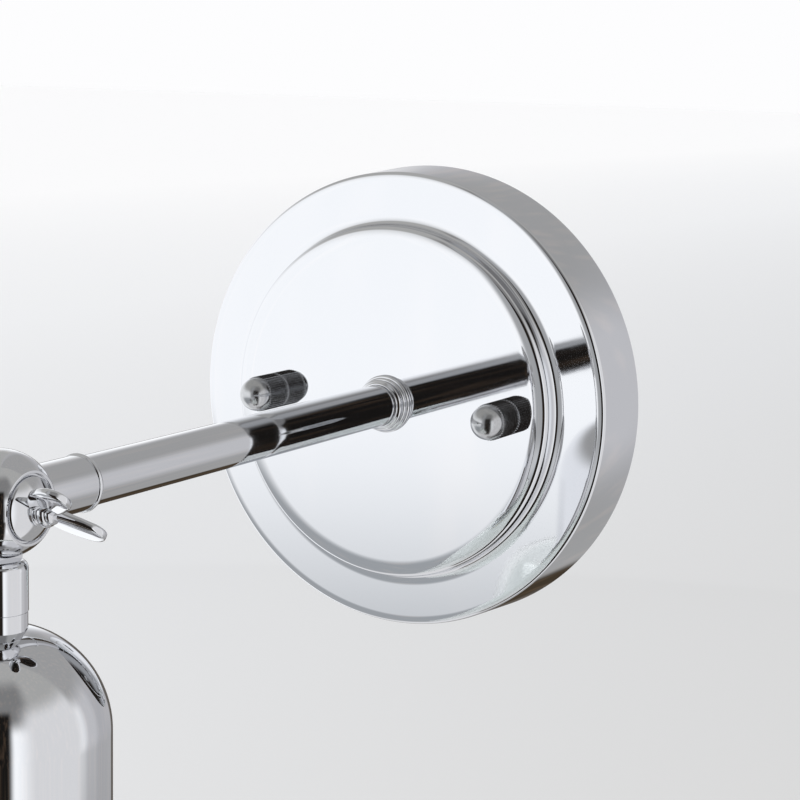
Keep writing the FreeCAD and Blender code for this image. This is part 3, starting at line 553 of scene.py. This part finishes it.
# %% Arm tube and ferrule
tube_start, tube_end = disc_plane, -span("arm_tube", "Y")[0]
tube_rad = span("arm_tube", "X")[1]
tube_outline = rounded(in_mm([
    (tube_rad - 1, (tube_start + tube_end) / 2, 0), (tube_rad - 1, tube_start, 0.2),
    (tube_rad, tube_start, 0.2),
    (tube_rad, tube_end, 0.2), (tube_rad - 1, tube_end, 0.2), (tube_rad - 1, (tube_start + tube_end) / 2, 0)]))
arm_tube = piece("arm_tube_drawn", [turned(tube_outline, "arm", around=256)])
finish(arm_tube, chrome, "wall_arm", ["arm_tube"])

bore = tube_rad + 0.05
ferrule_rad = span("arm_ferrule", "X")[1]
ferrule_nose = -span("arm_ferrule", "Y")[0]
ferrule_outline = rounded(in_mm(
    [(bore, disc_plane + 2, 0), (bore, disc_plane, 0.1), (ferrule_rad - 0.9, disc_plane, 0.05)]
    + arc(ferrule_rad - 0.62, disc_plane + 0.6, 0.6, -65, 68, 16)
    + [(ferrule_rad - 0.95, disc_plane + 1.25, 0.05)]
    + arc(ferrule_rad - 1.25, disc_plane + 1.85, 0.6, -50, 70, 16)
    + [(6.85, disc_plane + 2.5, 0.1), (6.75, disc_plane + 2.95, 0.05)]
    + arc(6.72, disc_plane + 3.6, 0.66, -55, 75, 14)
    + [(6.55, disc_plane + 4.4, 0.05), (6.6, ferrule_nose, 0.3), (bore, ferrule_nose, 0.1),
       (bore, disc_plane + 2, 0)]))
ferrule = piece("arm_ferrule_beaded", [turned(ferrule_outline, "arm", around=256)], sharp=math.radians(60))
finish(ferrule, chrome, "wall_arm", ["arm_ferrule"])

# %% [markdown]
# ## The sleeve of the knuckle
# A short sleeve hides the joint of tube and ball. Its open end is rolled outwards into a thin lip, which
# shows as a bright ring. The other end is cut to sit on the ball.

# %% Knuckle sleeve
ball_rad = span("knuckle_ball", "Z")[1]
reach = -KNUCKLE.y / MM
lip_start = -span("knuckle_sleeve", "Y")[1]
sleeve_rad = 6.6
seat = ball_rad + 0.05
sleeve_outline = rounded(in_mm(
    [(bore, lip_start + 5, 0), (bore, lip_start + 1.0, 0.1)]
    + arc(6.35, lip_start + 0.7, 0.68, 225, 430, 30)
    + [(sleeve_rad, lip_start + 1.55, 0.12), (sleeve_rad, reach - math.sqrt(seat ** 2 - sleeve_rad ** 2), 0.1),
       (4.95, reach - math.sqrt(seat ** 2 - 4.95 ** 2), 0), (4.95, tube_end, 0), (bore, tube_end, 0),
       (bore, lip_start + 5, 0)]))
sleeve = piece("knuckle_sleeve_rolled", [turned(sleeve_outline, "arm", around=256)])
finish(sleeve, chrome, "wall_arm", ["knuckle_sleeve"])

# %% [markdown]
# ## The slotted ball
# The ball is turned from bar and then milled with a disc cutter, which leaves a slot for the tongue of the
# stem. The slot is open from behind the stem, round the front and nearly to the top, and that arc is how far
# the head can tilt. The side with the wing screw is faced flat and counterbored for a washer.
# The surface is made in three shells about the pivot axis: two cheeks, and the bridge that joins them where
# the slot is not cut. The slot's rim is rounded only where there is a slot. On the bridge the same points
# close up, so the ball stays smooth.

# %% Knuckle ball
slot_half = 3.0
chamber_rad = 9.6
pivot_rad = 2.1
# in degrees from straight down towards the room, so the stem hangs at 0
slot_from, slot_to = -55.0, 150.0
flat = span("knuckle_ball", "X")[1]
recess_rad, recess_depth = 7.7, 0.8
around = 360


def cheek(side, rim):
    """Outline of one side of the ball in (distance from the pivot axis, place along it)."""
    start = math.degrees(math.asin(slot_half / ball_rad))
    inner = [(pivot_rad, slot_half, 0), (chamber_rad, slot_half, 0),
             (ball_rad * math.cos(math.radians(start)), slot_half, rim)]
    if side > 0:
        stop = math.degrees(math.asin(flat / ball_rad))
        face = [(ball_rad * math.cos(math.radians(stop)), flat, 0.25), (recess_rad, flat, 0.15),
                (recess_rad, flat - recess_depth, 0.1), (pivot_rad, flat - recess_depth, 0),
                (pivot_rad, slot_half, 0)]
        points = inner + arc(0, 0, ball_rad, start + 2.2, stop - 2.0, 24) + face
        return rounded(in_mm(points))
    points = inner + arc(0, 0, ball_rad, start + 2.2, 79, 34) + [
        (pivot_rad + 0.1, ball_rad - 0.2, 0.05), (pivot_rad, ball_rad - 2, 0), (pivot_rad, slot_half, 0)]
    return rounded(in_mm(points)) * [1, -1]


turn = np.radians(np.arange(around) * 360 / around)
degrees = (np.degrees(turn) + 180) % 360 - 180
open_slot = (degrees > slot_from) & (degrees < slot_to)
origin, along, across, up = (np.array(v) for v in AXES["pivot"])
ring = -np.cos(turn)[:, None] * up - np.sin(turn)[:, None] * across


def round_pivot(outlines):
    """A grid whose columns each have an outline of their own, turned about the pivot axis."""
    return origin + outlines[..., 0, None] * ring[None] + outlines[..., 1, None] * along


shells = []
for side in (1, -1):
    rimmed, plain = cheek(side, 0.3), cheek(side, 0.002)
    columns = np.where(open_slot[None, :, None], rimmed[:, None], plain[:, None])
    shells.append(skin(round_pivot(columns), wrap_rows=True))
closed = np.flatnonzero(~open_slot)
closed = np.roll(closed, -int(np.argmax(np.diff(closed) > 1)) - 1)
bridge_edge = math.degrees(math.asin(slot_half / ball_rad))
bridge = rounded(in_mm([(chamber_rad, 0, 0), (chamber_rad, slot_half, 0)]
                       + arc(0, 0, ball_rad, bridge_edge, -bridge_edge, 9)
                       + [(chamber_rad, -slot_half, 0), (chamber_rad, 0, 0)]))
hub_of_bridge = np.repeat(np.array([[chamber_rad + 1, 0]]) * MM, len(bridge), 0)
sector = [hub_of_bridge] + [bridge] * len(closed) + [hub_of_bridge]
sector_ring = ring[np.concatenate([closed[:1], closed, closed[-1:]])]
sector_grid = (origin + np.stack(sector, 1)[..., 0, None] * sector_ring[None]
               + np.stack(sector, 1)[..., 1, None] * along)
shells.append(skin(sector_grid, wrap_rows=True, wrap_columns=False))
spigot = rounded(in_mm([(3.0, reach - 20, 0), (3.0, -span("knuckle_ball", "Y")[1], 0.1),
                        (4.9, -span("knuckle_ball", "Y")[1], 0.3), (4.9, reach - 10.8, 0),
                        (3.0, reach - 10.8, 0), (3.0, reach - 20, 0)]))
shells.append(turned(spigot, "arm", around=96))
ball = piece("knuckle_ball_slotted", shells, sharp=math.radians(35))
finish(ball, chrome, "wall_arm", ["knuckle_ball"])

# %% [markdown]
# ## Washer and wing screw
# A domed washer sits in the counterbore and spreads the load. The wing screw is a casting that is tumbled,
# then plated, so nothing on it is sharp: the edges of its two blades are round, and the barrel shows a groove
# and a bead from the lathe. Each blade is a row of rounded sections carried along a curve from the barrel to
# the tip.

# %% Clamp washer
washer_out = span("clamp_washer", "X")
washer_rad = (span("clamp_washer", "Z")[1] - span("clamp_washer", "Z")[0]) / 2
crown_rad, crown_at = 10.87, washer_out[1] - 10.27
crown_edge = math.degrees(math.acos(washer_rad / crown_rad))
crown_top = math.degrees(math.asin((washer_out[1] - crown_at) / crown_rad))
washer_outline = rounded(in_mm(
    [(2.3, washer_out[0] + 1, 0), (2.3, washer_out[0], 0.1), (washer_rad, washer_out[0], 0.15)]
    + arc(0, crown_at, crown_rad, crown_edge + 1.5, crown_top - 0.6, 20)
    + [(3.5, washer_out[1], 0.12), (2.3, washer_out[1], 0.1), (2.3, washer_out[0] + 1, 0)]))
washer = piece("clamp_washer_domed", [turned(washer_outline, "pivot", around=192)])
finish(washer, chrome, "clamp", ["clamp_washer"])

# %% Wing screw
shaft_end = span("wing_screw", "X")[0]
hub = washer_out[1]
screw_outline = rounded(in_mm(
    [(0, shaft_end, 0), (2.0, shaft_end, 0.4), (2.0, hub, 0), (3.6, hub, 0.15)]
    + [(3.6, hub + 0.7, 0.2), (3.15, hub + 0.8, 0.1)]
    + arc(2.0, hub + 2.35, 1.55, -60, 40, 16)
    + [(2.8, hub + 3.6, 0.6), (2.7, hub + 4.6, 0.9), (0, hub + 5.1, 0)]))
wing_drop = math.radians(37)
wing_out = Vector((0, math.cos(wing_drop), -math.sin(wing_drop)))
wing_normal = Vector((0, math.sin(wing_drop), math.cos(wing_drop)))
tip_rad = 2.9
edge_power = 3.2


def wing_grid(side, count=65, sections=48):
    """One blade of the screw, in millimetres. At t from 0 to 1, and with b = sin(pi t), its centre line is at
    (x, y) = (hub + 1.2 + 11.2 t - 0.5 b, 0.9 + 8.3 t + 0.8 b) in the plane of the wings. The half width is
    2.6 + 1.5 b + 0.5 t, and closes as a circle over the last 2.9 mm. Each section is a superellipse of power
    3.2, whose half thickness falls from 1.5 at the barrel to 1.15 at the tip."""
    t = np.sin(np.linspace(0, np.pi / 2, count))
    bow = np.sin(np.pi * t)
    x = hub + 1.2 + 11.2 * t - 0.5 * bow
    y = 0.9 + 8.3 * t + 0.8 * bow
    slope_x, slope_y = np.gradient(x, t), np.gradient(y, t)
    length = np.hypot(slope_x, slope_y)
    run = np.concatenate([[0], np.cumsum(np.hypot(np.diff(x), np.diff(y)))])
    to_tip = np.clip((run[-1] - run) / tip_rad, 0, 1)
    close = np.sqrt(np.clip(1 - (1 - to_tip) ** 2, 0, 1))
    half = (2.6 + 1.5 * bow + 0.5 * t) * close
    thick = (1.5 - 0.35 * t) * close ** 0.35
    angle = np.linspace(0, 2 * np.pi, sections, endpoint=False)
    wide, high = (np.sign(wave) * np.abs(wave) ** (2 / edge_power) for wave in (np.cos(angle), np.sin(angle)))
    px = x[:, None] + (slope_y / length * half)[:, None] * wide
    py = y[:, None] - (slope_x / length * half)[:, None] * wide
    pz = thick[:, None] * high
    return (np.array(KNUCKLE) + px[..., None] * MM * np.array([1, 0, 0])
            + side * py[..., None] * MM * np.array(wing_out) + pz[..., None] * MM * np.array(wing_normal))


blades = [skin(wing_grid(side)) for side in (1, -1)]
screw = piece("wing_screw_cast", [turned(screw_outline, "pivot", around=144)] + blades, sharp=math.radians(60))
finish(screw, chrome, "thumb_screw", ["wing_screw"])

# %% [markdown]
# ## The stem and its collar
# The stem is one casting with the tongue. The tongue is a round plate with a neck, and it turns between two
# fibre washers inside the ball. Below, the stem is a plain cylinder with a rounded shoulder. A collar of
# almost the same size follows, so only a hairline seam shows between them.

# %% Stem and collar
stem_rad = span("stem_collar", "X")[1] + 0.15
stem_low = -span("swivel_stem", "Z")[0]
stem_top = 12.6
bore_rad, bore_top = 5.0, 16
stem_outline = rounded(in_mm([
    (0, bore_top, 0), (bore_rad, bore_top, 0.1), (bore_rad, stem_low, 0.1), (stem_rad, stem_low, 0.15),
    (stem_rad, stem_top, 2.0), (0, stem_top, 0)]))
tongue_rad = 9.2
tongue_half = 2.5
hole_edge = pivot_rad + 0.02
tongue_outline = rounded(in_mm([
    (hole_edge, 0, 0), (hole_edge, tongue_half, 0.1), (tongue_rad, tongue_half, 0.3),
    (tongue_rad, -tongue_half, 0.3), (hole_edge, -tongue_half, 0.1), (hole_edge, 0, 0)]))
neck_half = 4.6


def neck_grid():
    """A slab from inside the tongue down into the stem: a rounded rectangle carried straight down."""
    angle = np.linspace(0, 2 * np.pi, 64, endpoint=False)
    x = np.clip(1.6 * np.cos(angle), -1, 1) * tongue_half
    y = np.clip(1.6 * np.sin(angle), -1, 1) * neck_half
    depth = np.array([3.0, 3.0, stem_top + 1.2, stem_top + 1.2])
    scale = np.array([0, 1, 1, 0])
    points = np.empty((4, 64, 3))
    points[..., 0] = scale[:, None] * x
    points[..., 1] = scale[:, None] * y
    points[..., 2] = -depth[:, None]
    return np.array(KNUCKLE) + points * MM


stem = piece("swivel_stem_turned", [turned(stem_outline, "head", around=192),
                                    turned(tongue_outline, "pivot", around=192), skin(neck_grid())])
finish(stem, chrome, "head", ["swivel_stem"])

collar_rad = span("stem_collar", "X")[1]
collar_top, collar_low = -span("stem_collar", "Z")[1], -span("stem_collar", "Z")[0]
collar_outline = rounded(in_mm([
    (bore_rad, collar_top + 1, 0), (bore_rad, collar_top, 0.1), (collar_rad, collar_top, 0.15),
    (collar_rad, collar_low, 0), (bore_rad, collar_low - 0.25, 0), (bore_rad, collar_top + 1, 0)]))
collar = piece("stem_collar_turned", [turned(collar_outline, "head", around=192)])
finish(collar, chrome, "head", ["stem_collar"])

# %% [markdown]
# ## The socket cup
# The cup is spun from sheet like the canopy. Its dome mirrors the knuckle above it in small, which makes the
# stem seem to stand in a ring. The skirt ends in a rolled bead that stiffens the rim and takes the gasket.

# %% Socket cup
cup_rad = 24.7
cup_centre = 52.2
cup_rim = -span("socket_cup", "Z")[0]
wall = 1.2
hole_rad = 5.0
top_angle = math.degrees(math.asin(hole_rad / cup_rad))
inner_angle = math.degrees(math.asin(hole_rad / (cup_rad - wall)))
cup_outline = rounded(in_mm(
    arc(0, cup_centre, cup_rad, -90 + top_angle, 0, 48)
    + arc(cup_rad - 0.3, cup_rim - 1.1, 1.08, -70, 90, 16)
    + [(cup_rad - wall, cup_rim, 0.2)]
    + arc(0, cup_centre, cup_rad - wall, 0, -90 + inner_angle, 48)
    + arc(0, cup_centre, cup_rad, -90 + top_angle, -90 + top_angle, 1)))
cup = piece("socket_cup_spun", [turned(cup_outline, "head", around=320)])
finish(cup, chrome, "head", ["socket_cup"])

# %% [markdown]
# ## Ring, socket and lamp shell
# From below, the shade is held by a ring with a coarse knurl. Inside it stands the porcelain socket, with a
# lamp shell of thin metal whose wall is rolled into a coarse round thread of 3.6 mm pitch.

# %% Shade ring
ring_rad = span("shade_ring", "X")[1]
ring_top, ring_low = -span("shade_ring", "Z")[1], -span("shade_ring", "Z")[0]
ring_hole = 19.9
ring_ridges = 60
ring_outline = rounded(in_mm([
    (ring_hole, (ring_top + ring_low) / 2, 0), (ring_hole, ring_top, 0.3), (ring_rad - 0.5, ring_top, 0.6),
    (ring_rad - 0.5, ring_top + 1.2, -1), (ring_rad - 0.5, ring_low - 1.2, -1), (ring_rad - 0.5, ring_low, 0.6),
    (ring_hole, ring_low, 0.3), (ring_hole, (ring_top + ring_low) / 2, 0)]))


def grip(points, angle):
    """Round ridges on the ring's side."""
    on_side = points[:, 0] > (ring_rad - 0.52) * MM
    return on_side[:, None] * np.abs(np.sin(angle * ring_ridges / 2))[None] * 0.5 * MM


shade_ring = piece("shade_ring_knurled", [turned(ring_outline, "head", around=ring_ridges * 8, swell=grip)],
                   sharp=math.radians(50))
finish(shade_ring, chrome, "head", ["shade_ring"])

# %% Socket body
socket_top, socket_low = -span("socket_body", "Z")[1], -span("socket_body", "Z")[0]
socket_floor = 60.0
socket_outline = rounded(in_mm([
    (0, socket_top, 0), (18.6, socket_top, 1.0), (18.6, 76.0, 0.4), (19.8, 76.0, 0.5), (19.8, socket_low, 0.9),
    (13.75, socket_low, 0.8), (13.75, socket_floor, 0.2), (0, socket_floor, 0)]))
socket = piece("socket_body_glazed", [turned(socket_outline, "head", around=192)])
finish(socket, porcelain, "head", ["socket_body"])

# %% Lamp shell
shell_top, shell_low = -span("screw_shell", "Z")[1], -span("screw_shell", "Z")[0]


def thread_grid(turns=96, rows=113):
    """A thin wall whose radius waves with height and angle together, which makes a helix: out, over the rim
    and back in."""
    angle = np.linspace(0, 2 * np.pi, turns, endpoint=False)
    down = np.linspace(shell_top, shell_low, rows)
    ease = np.clip((down - shell_top) / 2, 0, 1) * np.clip((shell_low - down) / 1.0, 0, 1)
    wave = np.cos(2 * np.pi * down[:, None] / 3.6 - angle[None]) * 0.22 * ease[:, None]
    middle = 13.42 + wave
    radius = np.vstack([middle - 0.1, (middle + 0.1)[::-1]])
    height = np.concatenate([down, down[::-1]])
    points = np.empty(radius.shape + (3,))
    points[..., 0] = radius * np.cos(angle)
    points[..., 1] = radius * np.sin(angle)
    points[..., 2] = -height[:, None]
    return np.array(KNUCKLE) + points * MM


shell = piece("screw_shell_threaded", [skin(thread_grid(), wrap_rows=True)])
finish(shell, nickel, "head", ["screw_shell"])

# %% [markdown]
# ## The glass bell
# The shade is blown in a mould: a flat top with a hole, a round shoulder, a slim waist and a flaring skirt,
# with a wall of 3 mm. Its mouth is fire polished, so the rim is rounded and gathers light. The profile is a
# B-spline over five poles, and the inner wall is the same curve for the inner sizes.

# %% Glass shade
glass_low, glass_top = span("glass_shade", "Z")
glass_height = glass_top - glass_low
mouth_rad = span("glass_shade", "X")[1]
shoulder, waist_rad, skirt_rad = 33.0, 48.0, mouth_rad - 22.0
glass_wall = 3.0


def flare(inset, count=72):
    """Points on the cubic B-spline of the bell, for a wall that lies the given distance further in."""
    poles = np.array([
        (shoulder, inset), (waist_rad - inset, inset),
        (waist_rad - inset, inset + 0.38 * (glass_height - inset)),
        (skirt_rad - inset, inset + 0.72 * (glass_height - inset)), (mouth_rad - inset, glass_height)])
    knots = np.array([0, 0, 0, 0, 0.5, 1, 1, 1, 1])
    t = np.linspace(0, 1, count)
    t[-1] = 1 - 1e-9
    basis = ((knots[:-1] <= t[:, None]) & (t[:, None] < knots[1:])).astype(float)
    for degree in (1, 2, 3):
        left = knots[degree:-1] - knots[:-degree - 1]
        right = knots[degree + 1:] - knots[1:-degree]
        first = np.where(left > 0, (t[:, None] - knots[:-degree - 1]) / np.where(left > 0, left, 1), 0)
        second = np.where(right > 0, (knots[degree + 1:] - t[:, None]) / np.where(right > 0, right, 1), 0)
        basis = first * basis[:, :-1] + second * basis[:, 1:]
    return basis @ poles


outer, inner = flare(0), flare(glass_wall)[::-1]
depth = -glass_top
bell = rounded(in_mm(
    [(21.0, depth + glass_wall / 2, 0), (21.0, depth, 0.8)]
    + [(x, depth + d, -1) for x, d in outer[:-1]]
    + [(mouth_rad, depth + glass_height, 1.2), (mouth_rad - glass_wall, depth + glass_height, 1.2)]
    + [(x, depth + d, -1) for x, d in inner[1:]]
    + [(21.0, depth + glass_wall, 0.8), (21.0, depth + glass_wall / 2, 0)]))
shade = piece("glass_bell_blown", [turned(bell, "head", around=288)])
finish(shade, glass, "head", ["glass_shade"])

# %% [markdown]
# ## Hardware kept from the engineering model
# What stays hidden behind the canopy or inside the cup keeps its exact CAD surface and only gets a finish.

# %% Materials for the CAD nodes
by_slot = {"zinc_steel": zinc, "brass": brass, "green_screw": green, "fibre": fibre, "gasket": silicone,
           "chrome": chrome, "nickel": nickel, "porcelain": porcelain, "glass": glass}
slots = {row["node"]: row["material_slot"] for row in frame["record"]["subparts"]}
for name, obj in frame["nodes"].items():
    obj.data.materials.clear()
    obj.data.materials.append(by_slot[slots[name]])
print("kept:", [name for name, obj in frame["nodes"].items() if not obj.hide_render])

# %% [markdown]
# ## The studio
# Chrome shows the room, so the room is part of the finish. Round the sconce stands a dome that only mirrors
# see. Its light is painted by direction: white panels at the left, a grey ceiling, a grey backdrop behind
# the wall side, and a dark upright shape where the camera and its operator stand. That shape gives the tube
# and the ball their dark cores. All borders are soft, as they are in a room lit by large diffusers.

# %% Mirror dome
def step(value, start, end):
    """0 before start, 1 after end and a smooth cubic between them."""
    t = np.clip((value - start) / (end - start), 0, 1)
    return t * t * (3 - 2 * t)


def window(value, low, high, soft):
    """1 between low and high, falling smoothly to 0 over a soft border outside them."""
    return step(value, low - soft, low) * (1 - step(value, high, high + soft))


def room_light(azimuth, elevation):
    """Linear colours of the room by direction, in degrees: azimuth 0 is the side that the arm points to and
    90 is to its right. Each zone is laid over the last by its own window."""
    colour = np.ones(azimuth.shape + (3,)) * [1.16, 1.18, 1.20]
    behind = np.abs(np.abs(azimuth) - 180)
    turn = np.where(azimuth < 0, azimuth + 360, azimuth)
    zones = [
        # the ceiling, darker in front on the right, and the pale wall at the right
        (step(elevation, 8, 36), (0.46, 0.46, 0.45)),
        (window(azimuth, -10, 60, 20) * step(elevation, 12, 30) * (1 - step(elevation, 55, 75)),
         (0.24, 0.24, 0.24)),
        (step(azimuth, 52, 75) * (1 - step(elevation, 20, 45)) * (1 - step(azimuth, 120, 140)),
         (0.82, 0.82, 0.83)),
        # the floor in front, a grey strip straight ahead and the pale floor far below
        (window(azimuth, -70, 12, 12) * step(-elevation, 9, 24), (0.40, 0.42, 0.44)),
        (window(azimuth, -8, 8, 8) * window(elevation, -12, 60, 8), (0.42, 0.43, 0.44)),
        (step(-elevation, 45, 60), (0.85, 0.85, 0.86)),
        # the backdrop behind the wall side, darker above and below, with a dark shape at its left
        (window(turn, 140, 200, 14) * (1 - step(behind, 60, 75)), (0.62, 0.62, 0.64)),
        (window(turn, 160, 205, 12) * (1 - step(behind, 60, 75)), (0.50, 0.50, 0.52)),
        (window(turn, 130, 203, 10) * step(np.abs(elevation), 12, 32), (0.40, 0.40, 0.40)),
        (window(turn, 198, 222, 5) * window(elevation, -45, -2, 5), (0.12, 0.11, 0.10)),
        (window(turn, 188, 210, 5) * window(elevation, -42, -27, 5), (0.06, 0.045, 0.03)),
        # the low table and the upright shape where the camera stands
        (window(azimuth, -12, 48, 8) * window(elevation, -72, -29, 6), (0.11, 0.09, 0.075)),
        (window(azimuth, 9, 46, 7) * window(elevation, -68, 30, 9), (0.012, 0.011, 0.010)),
    ]
    for mask, value in zones:
        colour += mask[..., None] * (np.array(value) - colour)
    return colour


dome_rad, dome_rows, dome_columns = 2.5, 121, 240
elevation = np.linspace(-90, 90, dome_rows)[:, None] * np.ones(dome_columns)
azimuth = (np.ones(dome_rows)[:, None] * (np.arange(dome_columns) * 360 / dome_columns) + 180) % 360 - 180
tilt, spin = np.radians(elevation), np.radians(azimuth)
centre = np.array([0, KNUCKLE.y / 2, 0])
dome_points = centre + dome_rad * np.stack([np.cos(tilt) * np.sin(spin), -np.cos(tilt) * np.cos(spin),
                                            np.sin(tilt)], -1)
points, quads = skin(dome_points)
dome_mesh = bpy.data.meshes.new("mirror_dome")
dome_mesh.from_pydata(points.tolist(), [], quads.tolist())
colours = np.concatenate([room_light(azimuth, elevation), np.ones(azimuth.shape + (1,))], -1)
layer = dome_mesh.color_attributes.new("room_light", "FLOAT_COLOR", "POINT")
layer.data.foreach_set("color", colours.reshape(-1).astype(np.float32))
dome = bpy.data.objects.new("mirror_dome", dome_mesh)
bpy.context.scene.collection.objects.link(dome)


def dome_glow():
    """The painted light, with faint upright streaks in its dark part."""
    made = bpy.data.materials.new("dome_light")
    made.use_nodes = True
    tree = made.node_tree
    tree.nodes.clear()
    where = node(tree, "ShaderNodeMapping", inputs={"Vector": place_of(tree), "Scale": (1, 1, 0.15)})
    streaks = node(tree, "ShaderNodeTexNoise", inputs={"Vector": where.outputs["Vector"], "Scale": 9.0,
                                                       "Detail": 2.0})
    paint = node(tree, "ShaderNodeVertexColor", {"layer_name": "room_light"})
    warm = ramp(tree, streaks.outputs["Fac"], [(0.5, (0, 0, 0, 1)), (0.72, (0.05, 0.032, 0.02, 1))])
    both = node(tree, "ShaderNodeMix", {"data_type": "RGBA", "blend_type": "ADD"}, {"Factor": 1.0})
    tree.links.new(paint.outputs["Color"], both.inputs[6])
    tree.links.new(warm, both.inputs[7])
    light = node(tree, "ShaderNodeEmission", inputs={"Color": both.outputs[2], "Strength": 1.0})
    node(tree, "ShaderNodeOutputMaterial", inputs={"Surface": light.outputs["Emission"]})
    return made


dome_mesh.materials.append(dome_glow())
dome.visible_camera = dome.visible_diffuse = dome.visible_shadow = dome.visible_transmission = False
print("dome:", len(dome_mesh.polygons), "faces, light from", colours[..., :3].min().round(3),
      "to", colours.max())

# %% [markdown]
# ## Floor and light
# A pale floor far below and an even surround give the soft background. The floor's colour holds a painted
# fall-off
# of the light: it is painted lighter towards the left, up to near white, where it runs into the surround. One
# large softbox at the upper left adds a gentle direction for the porcelain, the glass and the floor.

# %% Floor, surround and softbox
def floor_with_painted_falloff():
    """Matt paint with a painted fall-off of light: light grey under and right of the sconce, near white from 7
    m to the left.
    """
    made, tree, shader = material("floor_painted_light_falloff", Roughness=0.8)
    shader.inputs["Specular IOR Level"].default_value = 0.2
    across = node(tree, "ShaderNodeSeparateXYZ", inputs={"Vector": place_of(tree)})
    falloff_to_left = node(tree, "ShaderNodeMapRange", inputs={"Value": across.outputs["X"], "From Min": 0.0,
                                                       "From Max": -7.0}).outputs["Result"]
    # painted light: the colour ramps from light grey to near white towards the left, a painted fall-off of the
    # studio light
    tree.links.new(ramp(tree, falloff_to_left, [(0.0, linear("#D3D3D2")), (0.21, linear("#E1E2E3")),
                                        (0.5, linear("#F0F1F2")), (1.0, linear("#FDFDFD"))]),
                   shader.inputs["Base Color"])
    return made


floor_mesh = bpy.data.meshes.new("studio_floor")
floor_half, floor_z = 40.0, cad_box[0][2] - 0.45
floor_corners = [(-1, -1), (1, -1), (1, 1), (-1, 1)]
floor_mesh.from_pydata([(floor_half * x, floor_half * y, floor_z) for x, y in floor_corners], [],
                       [(0, 1, 2, 3)])
floor = bpy.data.objects.new("studio_floor", floor_mesh)
bpy.context.scene.collection.objects.link(floor)
floor.data.materials.append(floor_with_painted_falloff())
floor.visible_glossy = False

world = bpy.data.worlds.new("studio_surround")
bpy.context.scene.world = world
world.use_nodes = True
world.node_tree.nodes["Background"].inputs["Color"].default_value = linear("#FDFDFE")
world.node_tree.nodes["Background"].inputs["Strength"].default_value = 1.0

lamp = bpy.data.lights.new("softbox", "AREA")
lamp.energy, lamp.size, lamp.size_y, lamp.shape = 12.0, 1.6, 1.2, "RECTANGLE"
softbox = bpy.data.objects.new("softbox", lamp)
bpy.context.scene.collection.objects.link(softbox)
softbox.location = (-1.6, -1.0, 1.3)
softbox.rotation_mode = "QUATERNION"
softbox.rotation_quaternion = (softbox.location - Vector(centre)).to_track_quat("Z", "Y")
softbox.visible_glossy = False
bpy.context.scene.view_settings.view_transform = "Standard"
print("floor at", round(floor_z, 3), "m")

# %% [markdown]
# ## The camera
# A short telephoto close to the knuckle, turned 30 degrees to the right of the arm and looking slightly down.

# %% Camera
camera_data = bpy.data.cameras.new("camera")
camera_data.lens, camera_data.sensor_width, camera_data.clip_start = 90.68, 36.0, 0.01
camera = bpy.data.objects.new("camera", camera_data)
bpy.context.scene.collection.objects.link(camera)
right = Vector((0.86668909, 0.49820114, 0.02540943))
above = Vector((-0.10313197, 0.12911098, 0.98625258))
ahead = Vector((-0.48807152, 0.85739488, -0.16327954))
place = Matrix((right, above, -ahead)).transposed().to_4x4()
place.translation = Vector((0.289344, -0.526636, 0.096737))
camera.matrix_world = place
bpy.context.scene.camera = camera
print("camera looks down by", round(math.degrees(math.asin(-ahead.z)), 1), "degrees")
